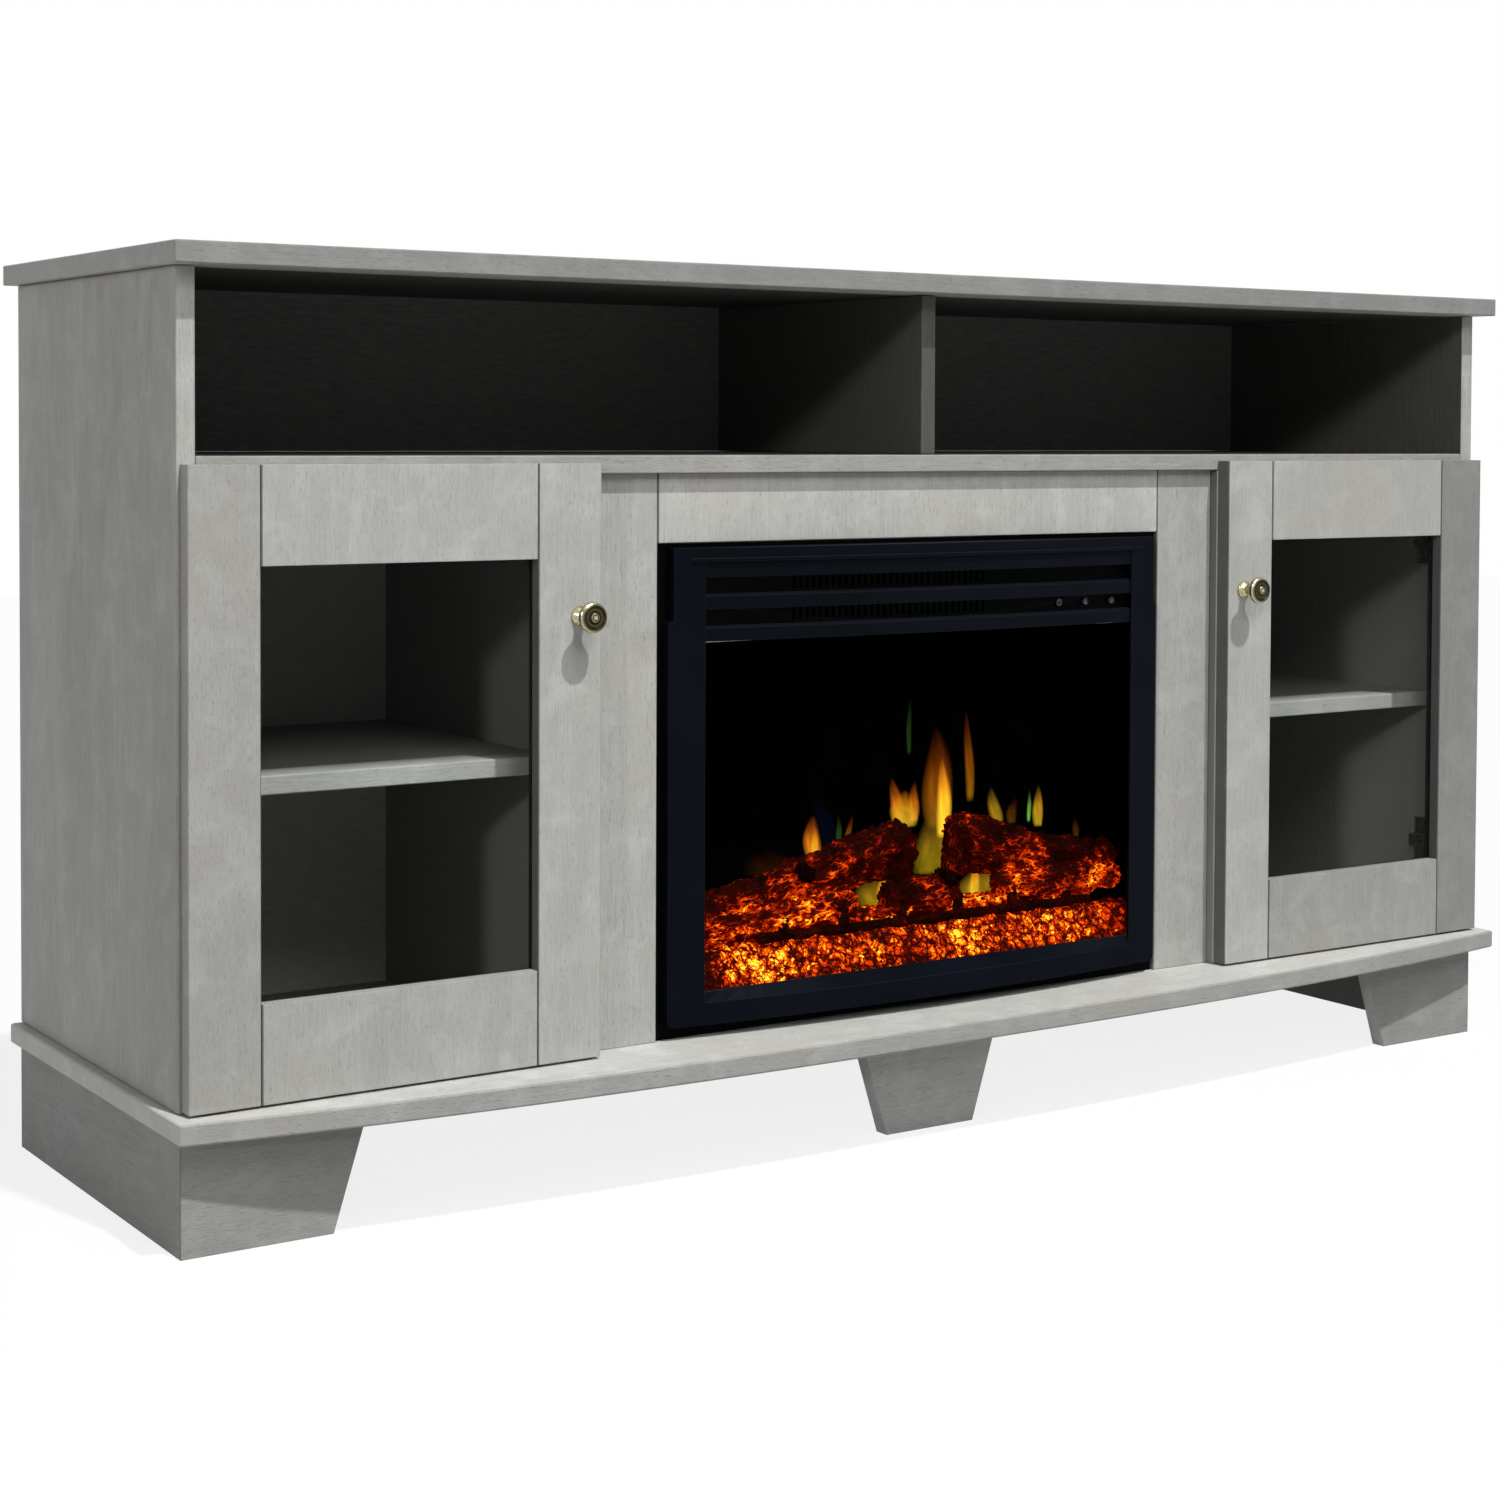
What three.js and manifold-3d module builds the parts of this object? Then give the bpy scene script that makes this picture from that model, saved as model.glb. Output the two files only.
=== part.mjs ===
// Fireplace TV stand: an open-bay media cabinet with two glazed doors and a bow-front electric fire.
// Millimetres. +X right, -Y front, +Z up. The origin is on the floor, at the centre of the overall box.
import * as THREE from 'three';
import { mergeVertices } from 'three/addons/utils/BufferGeometryUtils.js';
import Module from 'manifold-3d';

const wasm = await Module();
wasm.setup();

// Clearances and general sizes
const fit = 0.3;
const overrun = 5;
const weld = 1e-4;
const arris = 0.8;
const groove = 1.1;
const roundSides = 32;

// Overall sizes
const width = 1501;
const height = 806;
const plinthHeight = 97;
const topThickness = 18;
const baseThickness = 18;
const boardThickness = 16;
const carcassDepth = 393;
const slabSideOverhang = 9.5;
const topFrontOverhang = 24;
const topBackOverhang = 13;
const baseFrontOverhang = 30;
const baseBow = 48;
const baseBowPower = 2.55;
const baseBowSteps = 44;
const slabEase = 1.5;

// Inside of the cabinet
const bayHeight = 150.6;
const dividerRecess = 4;
const compartmentHalfWidth = 365.6;
const bayBackInset = 30.5;
const bayBackThickness = 6;
const cupboardBackInset = 12;
const cupboardBackThickness = 4;
const shelfHeightShare = 0.5115;
const shelfFrontInset = 41;

// Centre face frame
const frameRecess = 10;
const frameStileWidth = 72.3;
const frameRailWidth = 61.7;

// Doors
const doorGap = 0.8;
const doorThickness = 16;
const doorSideReveal = 3;
const doorBottomGap = 2.3;
const doorTopReveal = 6.7;
const doorStileWidth = 61;
const doorRailWidth = 81;
const glassThickness = 3.4;
const glassPocket = 8;
const glassPocketDepth = 4;
const retainerOverlap = 12;
const retainerThickness = 4;
const retainerLap = 1;
const knobRadius = 13.3;
const knobProjection = 28;
const knobBelowTop = 130.7;
const knobInset = 21.4;

// Concealed hinges
const cupRadius = 17.5;
const cupDepth = 12;
const cupWall = 1.4;
const cupEdgeInset = 21.5;
const hingeInset = 90;
const hingePlateLength = 36;
const hingePlateHeight = 50;
const hingePlateThickness = 3;
const hingeArmLength = 58;
const hingeArmHeight = 13;
const hingeArmThickness = 9;
const hingeNoseWidth = 8;
const hingeNoseLength = 22;
const hingeTipGap = 1;

// Feet
const footSetback = 24.6;
const cornerFootWidth = 131;
const centreFootHalfWidth = 50.6;
const footFlare = 30.3;

// Electric fire: housing
const insertClearance = 1.3;
const flangeRecess = 4;
const flangeWidth = 30;
const flangeTopWidth = 4;
const housingDepth = 220;
const sheet = 2;
const inletSlots = 20;
const inletSlotWidth = 4;
const inletSlotHeight = 36;
const inletPitch = 11;
const cordInletRadius = 9;
const cordInletBoss = 14;
const cordInletLength = 6;
const cordInletFromSide = 62;

// Electric fire: front
const trimSideGap = 7.3;
const trimStep = 5;
const trimStepDrop = 70;
const trimBottomGap = 12;
const trimTopGap = 4.7;
const trimDepth = 11;
const trimBow = 18;
const trimBowSteps = 24;
const trimSkin = 2.5;
const trimCorner = 6;
const trimCornerSteps = 5;
const trimBorder = 36;
const sillDrop = 10;
const sillFace = 20;
const capFromTop = 12.5;
const capHeight = 3;
const capProud = 2;
const capLap = 15;
const louvreHeight = 14;
const louvrePitch = 28.6;
const louvreCount = 3;
const louvreDepth = 7;
const louvreSlope = 2;
const louvreNose = 2.2;
const louvreRecess = 1.5;
const frontGlassThickness = 4;
const frontGlassLap = 8;
const ventPanelThickness = 2;
const grilleSlots = 31;
const grillePitch = 7.3;
const grilleSlotWidth = 3.6;
const grilleCentre = -37;
const grilleMargin = 1.5;
const buttonRadius = 4.2;
const buttonProud = 3;
const buttonFlange = 1.4;
const buttonFlangeThickness = 1;
const buttonPitch = 33.5;
const buttonsFromEnd = 51;
const buttonClearance = 0.3;
const buttonDishShare = 0.12;

// Electric fire: fuel bed, screen, flicker spindle and blower
const emberSideGap = 7;
const emberFrontGap = 4;
const emberFrontHeight = 36;
const emberRise = 34;
const emberSlopeDepth = 24;
const emberDepth = 78;
const emberBackHeight = 52;
const grateBarRadius = 5;
const grateHalfLength = 200;
const grateCentre = 37;
const pegRadius = 4.5;
const pegHeight = 18;
const pegPitch = 68;
const pegCount = 6;
const screenBehindFront = 88;
const screenThickness = 3;
const logRadius = 25;
const logRise = 92;
const logWaves = 1.11;
const logSides = 14;
const logRings = 9;
const spindleRadius = 4;
const spindleFromScreen = 62;
const spindleHeight = 84;
const paddleCount = 16;
const paddleReach = 26;
const paddleWidth = 22;
const paddleThickness = 1.2;
const paddleTurnShare = 0.382;
const ductHalfLength = 118;
const ductDepth = 92;
const ductHeight = 76;
const wheelRadius = 28;
const wheelBlades = 20;
const wheelBladeDepth = 8;
const wheelBladeThickness = 1.4;
const wheelDisc = 2;
const wheelShaftRadius = 3.3;

// Planes that several pieces share
const overallDepth = topBackOverhang + carcassDepth + baseFrontOverhang + baseBow;
const backMost = overallDepth / 2;
const carcassBack = backMost - topBackOverhang;
const carcassFront = carcassBack - carcassDepth;
const baseCornerFront = carcassFront - baseFrontOverhang;
const carcassHalfWidth = width / 2 - slabSideOverhang;
const innerHalfWidth = carcassHalfWidth - boardThickness;
const baseTop = plinthHeight + baseThickness;
const carcassTop = height - topThickness;
const midShelfTop = carcassTop - bayHeight;
const midShelfBottom = midShelfTop - boardThickness;
const partitionOuter = compartmentHalfWidth + boardThickness;
const shelfTop = baseTop + shelfHeightShare * (midShelfBottom - baseTop);
const bayBackFront = carcassBack - bayBackInset;
const cupboardBackFront = carcassBack - cupboardBackInset;
const frameFront = carcassFront + frameRecess;
const openingHalfWidth = compartmentHalfWidth - frameStileWidth;
const openingTop = midShelfBottom - frameRailWidth;
const doorBack = carcassFront - doorGap;
const doorFront = doorBack - doorThickness;
const doorBottom = baseTop + doorBottomGap;
const doorTop = midShelfTop - doorTopReveal;
const doorOuter = carcassHalfWidth - doorSideReveal;
const doorInner = compartmentHalfWidth;
const knobHeight = doorTop - knobBelowTop;
const footFront = baseCornerFront + footSetback;

const flangePlane = frameFront + flangeRecess;
const housingHalfWidth = openingHalfWidth - insertClearance;
const housingBottom = baseTop + fit;
const housingTop = openingTop - insertClearance;
const housingBack = flangePlane + housingDepth;
const cavityHalfWidth = housingHalfWidth - sheet;
const cavityFloor = housingBottom + sheet;
const trimHalfWidth = openingHalfWidth - trimSideGap;
const trimBack = flangePlane - fit;
const trimFrontEnd = flangePlane - trimDepth;
const trimBottom = baseTop + trimBottomGap;
const trimTop = openingTop - trimTopGap;
const trimStepHeight = trimTop - trimStepDrop;
const windowHalfWidth = trimHalfWidth - trimBorder;
const buttonCentre = windowHalfWidth - buttonsFromEnd;
const ventTop = trimTop - capFromTop;
const louvreBottoms = [];
for (let k = louvreCount - 1; k >= 0; k -= 1) {
  louvreBottoms.push(ventTop - fit - louvreHeight - k * louvrePitch);
}
const fireCeiling = louvreBottoms[0] - sheet;
const sillLip = trimBottom + sillFace;
const sillBack = sillLip + sillDrop;
const glassHalfWidth = windowHalfWidth + frontGlassLap;
const frontGlassFront = trimFrontAt(glassHalfWidth) + trimSkin + fit;
const ledge = sillBack - frontGlassLap + sheet;
const ventPanelBack = flangePlane - fit;
const ventPanelFront = ventPanelBack - ventPanelThickness;
const screenFront = flangePlane + screenBehindFront;
const emberHalfWidth = cavityHalfWidth - emberSideGap;
const emberFront = flangePlane + emberFrontGap;
const barHeight = cavityFloor + emberFrontHeight + emberRise;
const barPlane = emberFront + emberSlopeDepth;
const deckTop = louvreBottoms[0];
const ductFront = flangePlane + sheet + fit;

// Finishes
const finishes = {
  grainedGrey: { color: 0xb6b7b2, roughness: 0.55, metalness: 0 },
  backBoard: { color: 0x6b6b69, roughness: 0.7, metalness: 0 },
  clearGlass: { color: 0xdfe8e6, roughness: 0.05, metalness: 0, transparent: true, opacity: 0.3 },
  blackPlastic: { color: 0x1b1b1c, roughness: 0.5, metalness: 0 },
  antiqueBrass: { color: 0x8d7444, roughness: 0.35, metalness: 1 },
  nickel: { color: 0xb9b9b6, roughness: 0.35, metalness: 1 },
  blackMetal: { color: 0x10131a, roughness: 0.5, metalness: 0.4 },
  housingMetal: { color: 0x23241c, roughness: 0.6, metalness: 0.3 },
  smokedAcrylic: { color: 0x0c0c0d, roughness: 0.1, metalness: 0, transparent: true, opacity: 0.85 },
  charredResin: { color: 0x2a120a, roughness: 0.85, metalness: 0 },
  emberResin: { color: 0xc23a0a, roughness: 0.7, metalness: 0 },
  bareAluminium: { color: 0xc4c6c8, roughness: 0.3, metalness: 1 },
};

const model = new THREE.Group();

function add(name, geometry, finish) {
  const mesh = new THREE.Mesh(geometry, new THREE.MeshStandardMaterial(finishes[finish]));
  mesh.name = name;
  model.add(mesh);
}

// A closed geometry as a solid that can be joined and cut
function solid(geometry) {
  const bare = geometry.clone();
  bare.deleteAttribute('normal');
  bare.deleteAttribute('uv');
  const merged = mergeVertices(bare, weld);
  return new wasm.Manifold(new wasm.Mesh({
    numProp: 3,
    vertProperties: new Float32Array(merged.attributes.position.array),
    triVerts: new Uint32Array(merged.index.array),
  }));
}

function geometryOf(body) {
  const mesh = body.getMesh();
  const geometry = new THREE.BufferGeometry();
  geometry.setAttribute('position', new THREE.BufferAttribute(mesh.vertProperties, 3));
  geometry.setIndex(new THREE.BufferAttribute(mesh.triVerts, 1));
  geometry.computeVertexNormals();
  return geometry;
}

function shapeOf(points) {
  return new THREE.Shape(points.map(([a, b]) => new THREE.Vector2(a, b)));
}

// Plan outline (x, y) raised from z0 to z1
function raise(points, z0, z1) {
  const geometry = new THREE.ExtrudeGeometry(shapeOf(points), { depth: z1 - z0, bevelEnabled: false });
  return geometry.translate(0, 0, z0);
}

// Front outline (x, z) carried from y0 back to y1
function carry(points, y0, y1) {
  const geometry = new THREE.ExtrudeGeometry(shapeOf(points), { depth: y1 - y0, bevelEnabled: false });
  return geometry.rotateX(Math.PI / 2).translate(0, y1, 0);
}

// Side outline (y, z) run from x0 to x1
function run(points, x0, x1) {
  const geometry = new THREE.ExtrudeGeometry(shapeOf(points), { depth: x1 - x0, bevelEnabled: false });
  const turn = new THREE.Matrix4().makeBasis(
    new THREE.Vector3(0, 1, 0),
    new THREE.Vector3(0, 0, 1),
    new THREE.Vector3(1, 0, 0),
  );
  return geometry.applyMatrix4(turn).translate(x0, 0, 0);
}

function block(x0, x1, y0, y1, z0, z1) {
  return raise([[x0, y0], [x1, y0], [x1, y1], [x0, y1]], z0, z1);
}

// Plan outline raised with a small chamfer round both faces
function easedSlab(points, z0, z1, ease) {
  const geometry = new THREE.ExtrudeGeometry(shapeOf(points), {
    depth: z1 - z0 - 2 * ease,
    bevelEnabled: true,
    bevelThickness: ease,
    bevelSize: ease,
    bevelOffset: -ease,
    bevelSegments: 1,
  });
  return geometry.translate(0, 0, z0 + ease);
}

// A board with all its arrises broken
function board(x0, x1, y0, y1, z0, z1) {
  return easedSlab(octagon(x0, x1, y0, y1, arris), z0, z1, arris);
}

function octagon(x0, x1, y0, y1, cut) {
  return [
    [x0 + cut, y0], [x1 - cut, y0], [x1, y0 + cut], [x1, y1 - cut],
    [x1 - cut, y1], [x0 + cut, y1], [x0, y1 - cut], [x0, y0 + cut],
  ];
}

// Plan of a stile or rail: its two front corners are chamfered by their own amounts
function facedPlan(xa, cutA, xb, cutB, yFront, yBack) {
  const way = Math.sign(xb - xa);
  return [
    [xa, yBack], [xa, yFront + cutA], [xa + way * cutA, yFront],
    [xb - way * cutB, yFront], [xb, yFront + cutB], [xb, yBack],
  ];
}

function turned(points, sides = roundSides) {
  return new THREE.LatheGeometry(points.map(([r, h]) => new THREE.Vector2(r, h)), sides);
}

function rod(radius, length, sides = roundSides) {
  return new THREE.CylinderGeometry(radius, radius, length, sides);
}

// A section (y, z, share of the bow) swept across X: its front follows a bow and its back can stay flat
function bowed(section, halfLength, bowAt, steps) {
  const count = section.length;
  const positions = [];
  const faces = [];
  for (let k = 0; k <= steps; k += 1) {
    const x = halfLength * (2 * k / steps - 1);
    section.forEach(([y, z, share]) => positions.push(x, y + share * bowAt(x), z));
  }
  for (let k = 0; k < steps; k += 1) {
    for (let i = 0; i < count; i += 1) {
      const j = (i + 1) % count;
      const near = k * count;
      const far = near + count;
      faces.push(near + i, near + j, far + j, near + i, far + j, far + i);
    }
  }
  const endBow = bowAt(halfLength);
  const outline = section.map(([y, z, share]) => new THREE.Vector2(y + share * endBow, z));
  const last = steps * count;
  THREE.ShapeUtils.triangulateShape(outline, []).forEach(([a, b, c]) => {
    faces.push(last + a, last + b, last + c, c, b, a);
  });
  const geometry = new THREE.BufferGeometry();
  geometry.setAttribute('position', new THREE.Float32BufferAttribute(positions, 3));
  geometry.setIndex(faces);
  geometry.computeVertexNormals();
  return geometry;
}

function trimBowAt(x) {
  return -trimBow * (1 - (x / trimHalfWidth) ** 2);
}

function trimFrontAt(x) {
  return trimFrontEnd + trimBowAt(x);
}

// Top and base panels
function addSlabs() {
  const half = width / 2;
  const topPlan = octagon(-half, half, carcassFront - topFrontOverhang, backMost, arris);
  add('top_panel', easedSlab(topPlan, carcassTop, height, arris), 'grainedGrey');
  const outline = [[half, carcassBack], [-half, carcassBack]];
  for (let k = 0; k <= baseBowSteps; k += 1) {
    const share = 2 * k / baseBowSteps - 1;
    const bow = baseBow * (1 - Math.abs(share) ** baseBowPower);
    outline.push([share * half, baseCornerFront - bow]);
  }
  add('base_panel', easedSlab(outline, plinthHeight, baseTop, slabEase), 'grainedGrey');
}

function addCarcass() {
  const [y0, y1] = [carcassFront, carcassBack];
  const [low, high] = [baseTop + fit, carcassTop - fit];
  const underShelf = midShelfBottom - fit;
  const inner = innerHalfWidth - fit;
  add('mid_shelf', board(-inner, inner, y0, y1, midShelfBottom, midShelfTop), 'grainedGrey');
  const halfBoard = boardThickness / 2;
  const bayFloor = midShelfTop + fit;
  const divider = board(-halfBoard, halfBoard, y0 + dividerRecess, bayBackFront - fit, bayFloor, high);
  add('bay_divider', divider, 'grainedGrey');
  const bayBack = block(-inner, inner, bayBackFront, bayBackFront + bayBackThickness, bayFloor, high);
  add('upper_back_panel', bayBack, 'backBoard');
  for (const [side, s] of [['left', -1], ['right', 1]]) {
    const span = (a, b) => (s < 0 ? [-b, -a] : [a, b]);
    const sidePanel = board(...span(innerHalfWidth, carcassHalfWidth), y0, y1, low, high);
    add(`${side}_side_panel`, sidePanel, 'grainedGrey');
    const partition = board(...span(compartmentHalfWidth, partitionOuter), y0, y1, low, underShelf);
    add(`${side}_partition`, partition, 'grainedGrey');
    const cupboard = span(partitionOuter + fit, inner);
    const backDepth = [cupboardBackFront, cupboardBackFront + cupboardBackThickness];
    add(`${side}_cupboard_back`, block(...cupboard, ...backDepth, low, underShelf), 'backBoard');
    const shelfDepth = [y0 + shelfFrontInset, cupboardBackFront - fit];
    const shelf = board(...cupboard, ...shelfDepth, shelfTop - boardThickness, shelfTop);
    add(`${side}_shelf`, shelf, 'grainedGrey');
  }
}

function addCentreFrame() {
  const [front, back] = [frameFront, frameFront + boardThickness];
  const [low, high] = [baseTop + fit, midShelfBottom - fit];
  for (const [side, s] of [['left', -1], ['right', 1]]) {
    const outer = compartmentHalfWidth - fit;
    const plan = facedPlan(s * openingHalfWidth, groove, s * outer, arris, front, back);
    add(`${side}_frame_stile`, raise(plan, low, high), 'grainedGrey');
  }
  const railHalf = openingHalfWidth - fit;
  const railPlan = facedPlan(-railHalf, groove, railHalf, groove, front, back);
  add('frame_top_rail', raise(railPlan, openingTop, high), 'grainedGrey');
}

function addFeet() {
  const top = plinthHeight - fit;
  const mitreGap = fit * Math.SQRT2;
  const [outer, inner] = [carcassHalfWidth, innerHalfWidth];
  const footBack = footFront + boardThickness;
  for (const [side, s] of [['left', -1], ['right', 1]]) {
    const plinth = [
      [s * outer, footFront + mitreGap], [s * outer, carcassBack],
      [s * inner, carcassBack], [s * inner, footBack + mitreGap],
    ];
    add(`${side}_plinth_board`, raise(plinth, 0, top), 'grainedGrey');
    const toe = outer - cornerFootWidth;
    const face = [[s * outer, 0], [s * toe, 0], [s * (toe - footFlare), top], [s * outer, top]];
    const mitred = [
      [s * outer, footFront], [s * inner, footBack],
      [s * (toe - footFlare), footBack], [s * (toe - footFlare), footFront],
    ];
    const foot = solid(carry(face, footFront, footBack)).intersect(solid(raise(mitred, 0, top)));
    add(`${side}_front_foot`, geometryOf(foot), 'grainedGrey');
  }
  const toe = centreFootHalfWidth;
  const centre = [[-toe, 0], [toe, 0], [toe + footFlare, top], [-toe - footFlare, top]];
  add('centre_front_foot', carry(centre, footFront, footBack), 'grainedGrey');
  add('centre_rear_foot', carry(centre, carcassBack - boardThickness, carcassBack), 'grainedGrey');
}

// Knob: radii and heights as shares of its radius and projection
const knobShares = [
  [0, 0], [0.64, 0], [0.64, 0.05], [0.55, 0.1], [0.34, 0.2], [0.31, 0.36], [0.4, 0.5], [0.72, 0.61],
  [0.96, 0.71], [1, 0.78], [0.97, 0.86], [0.86, 0.93], [0.74, 0.96], [0.68, 0.93], [0.44, 0.93],
  [0.38, 0.97], [0.2, 0.99], [0, 1],
];

function knob() {
  const profile = knobShares.map(([r, h]) => [r * knobRadius, h * knobProjection]);
  return turned(profile).rotateX(Math.PI);
}

function hingeCup() {
  const radius = cupRadius - fit;
  const depth = cupDepth - fit;
  const profile = [
    [0, 0], [radius, 0], [radius, depth],
    [radius - cupWall, depth], [radius - cupWall, cupWall], [0, cupWall],
  ];
  return turned(profile).translate(0, fit - cupDepth, 0);
}

function addDoor(side, s) {
  const at = (x) => s * x;
  const windowOuter = doorOuter - doorStileWidth;
  const windowInner = doorInner + doorStileWidth;
  const windowBottom = doorBottom + doorRailWidth;
  const windowTop = doorTop - doorRailWidth;
  const pocketFront = doorBack - glassPocketDepth;
  const spanX = (a, b) => (s < 0 ? [-b, -a] : [a, b]);
  const pocket = solid(block(
    ...spanX(windowInner - glassPocket, windowOuter + glassPocket),
    pocketFront, doorBack + overrun, windowBottom - glassPocket, windowTop + glassPocket,
  ));
  const cupX = doorOuter - cupEdgeInset;
  const hingeHeights = { upper: doorTop - hingeInset, lower: doorBottom + hingeInset };

  const outerPlan = facedPlan(at(doorOuter), arris, at(windowOuter), groove, doorFront, doorBack);
  let outerStile = solid(raise(outerPlan, doorBottom, doorTop)).subtract(pocket);
  for (const z of Object.values(hingeHeights)) {
    const bore = rod(cupRadius, cupDepth + overrun);
    outerStile = outerStile.subtract(solid(bore.translate(at(cupX), doorBack + (overrun - cupDepth) / 2, z)));
  }
  add(`${side}_door_outer_stile`, geometryOf(outerStile), 'grainedGrey');

  const innerPlan = facedPlan(at(doorInner), arris, at(windowInner), groove, doorFront, doorBack);
  const innerStile = solid(raise(innerPlan, doorBottom, doorTop)).subtract(pocket);
  add(`${side}_door_inner_stile`, geometryOf(innerStile), 'grainedGrey');

  const railEnds = [at(windowInner + fit), at(windowOuter - fit)];
  const railPlan = facedPlan(railEnds[0], groove, railEnds[1], groove, doorFront, doorBack);
  const topRail = solid(raise(railPlan, windowTop, doorTop)).subtract(pocket);
  add(`${side}_door_top_rail`, geometryOf(topRail), 'grainedGrey');
  const bottomRail = solid(raise(railPlan, doorBottom, windowBottom)).subtract(pocket);
  add(`${side}_door_bottom_rail`, geometryOf(bottomRail), 'grainedGrey');

  const lap = glassPocket - retainerLap;
  const paneX = spanX(windowInner - lap, windowOuter + lap);
  const paneFront = pocketFront + fit;
  const paneDepth = [paneFront, paneFront + glassThickness];
  const pane = block(...paneX, ...paneDepth, windowBottom - lap, windowTop + lap);
  add(`${side}_door_glass`, pane, 'clearGlass');

  const ring = solid(block(
    ...spanX(windowInner - retainerOverlap, windowOuter + retainerOverlap), doorBack + fit,
    doorBack + retainerThickness, windowBottom - retainerOverlap, windowTop + retainerOverlap,
  ));
  const ringHole = solid(block(
    ...spanX(windowInner - retainerLap, windowOuter + retainerLap), doorBack - overrun,
    doorBack + retainerThickness + overrun, windowBottom - retainerLap, windowTop + retainerLap,
  ));
  add(`${side}_glass_retainer`, geometryOf(ring.subtract(ringHole)), 'blackPlastic');

  const turnedKnob = knob().translate(at(doorInner + knobInset), doorFront - fit, knobHeight);
  add(`${side}_knob`, turnedKnob, 'antiqueBrass');

  for (const [level, z] of Object.entries(hingeHeights)) {
    add(`${side}_${level}_hinge_cup`, hingeCup().translate(at(cupX), doorBack, z), 'nickel');
    add(`${side}_${level}_hinge_arm`, hingeArm(s, cupX, z), 'nickel');
  }
}

// Hinge arm: a plate on the side panel with a cranked arm that reaches forward to the cup
function hingeArm(s, cupX, z) {
  const wall = innerHalfWidth - fit;
  const tip = doorBack + hingeTipGap;
  const heel = tip + hingeArmLength;
  const knee = tip + hingeNoseLength;
  const armInner = wall - hingePlateThickness - hingeArmThickness;
  const outline = [
    [cupX - hingeNoseWidth / 2, tip], [cupX + hingeNoseWidth / 2, tip],
    [wall - hingePlateThickness, knee], [wall - hingePlateThickness / 2, knee],
    [wall - hingePlateThickness / 2, heel], [armInner, heel], [armInner, knee],
  ].map(([x, y]) => [s * x, y]);
  const arm = solid(raise(outline, z - hingeArmHeight / 2, z + hingeArmHeight / 2));
  const [x0, x1] = s < 0 ? [-wall, hingePlateThickness - wall] : [wall - hingePlateThickness, wall];
  const halfPlate = hingePlateHeight / 2;
  const plate = solid(block(x0, x1, heel - hingePlateLength, heel, z - halfPlate, z + halfPlate));
  return geometryOf(plate.add(arm));
}

// Firebox housing: sheet folded round the fire with a front flange, closed by a back plate that holds the
// air inlet slots and the cord inlet
function addHousing() {
  const half = housingHalfWidth;
  const inside = flangePlane + sheet;
  const plateFront = housingBack - sheet;
  const faceHalf = half - flangeWidth;
  const [faceLow, faceHigh] = [housingBottom + flangeWidth, housingTop - flangeTopWidth];
  const wrap = solid(block(-half, half, flangePlane, plateFront - fit, housingBottom, housingTop));
  const face = solid(block(-faceHalf, faceHalf, flangePlane - overrun, inside, faceLow, faceHigh));
  const cavityTop = housingTop - sheet;
  const cavity = block(-cavityHalfWidth, cavityHalfWidth, inside, housingBack, cavityFloor, cavityTop);
  add('firebox_housing', geometryOf(wrap.subtract(face).subtract(solid(cavity))), 'housingMetal');

  const cordX = half - cordInletFromSide;
  const cordZ = deckTop + ductHeight / 2;
  const boss = rod(cordInletBoss, cordInletLength + sheet);
  let plate = solid(block(-half, half, plateFront, housingBack, housingBottom, housingTop));
  plate = plate.add(solid(boss.translate(cordX, housingBack + (cordInletLength - sheet) / 2, cordZ)));
  plate = plate.subtract(solid(rod(cordInletRadius, housingDepth / 2).translate(cordX, housingBack, cordZ)));
  const depth = [plateFront - overrun, housingBack + overrun];
  const rise = [cordZ - inletSlotHeight / 2, cordZ + inletSlotHeight / 2];
  for (let k = 0; k < inletSlots; k += 1) {
    const x = grilleCentre + inletPitch * (k - (inletSlots - 1) / 2);
    const [x0, x1] = [x - inletSlotWidth / 2, x + inletSlotWidth / 2];
    plate = plate.subtract(solid(block(x0, x1, ...depth, ...rise)));
  }
  add('housing_back', geometryOf(plate), 'housingMetal');
}

// Outline of the trim seen from the front, drawn in by an inset: rounded foot corners and a step in each side
function trimOutline(inset) {
  const low = trimBottom + inset;
  const high = trimTop - inset;
  const wide = trimHalfWidth - inset;
  const narrow = wide - trimStep;
  const radius = trimCorner - inset;
  const right = [];
  for (let k = 0; k <= trimCornerSteps; k += 1) {
    const angle = (k / trimCornerSteps - 1) * Math.PI / 2;
    right.push([wide - radius + radius * Math.cos(angle), low + radius + radius * Math.sin(angle)]);
  }
  for (let k = 0; k <= trimCornerSteps; k += 1) {
    const angle = k / trimCornerSteps * Math.PI / 2;
    const [out, up] = [trimStep * Math.cos(angle), trimStep * Math.sin(angle)];
    right.push([narrow + out, trimStepHeight - inset + up]);
  }
  right.push([narrow, high]);
  const left = right.map(([x, z]) => [-x, z]).reverse();
  return [...right, ...left];
}

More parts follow.
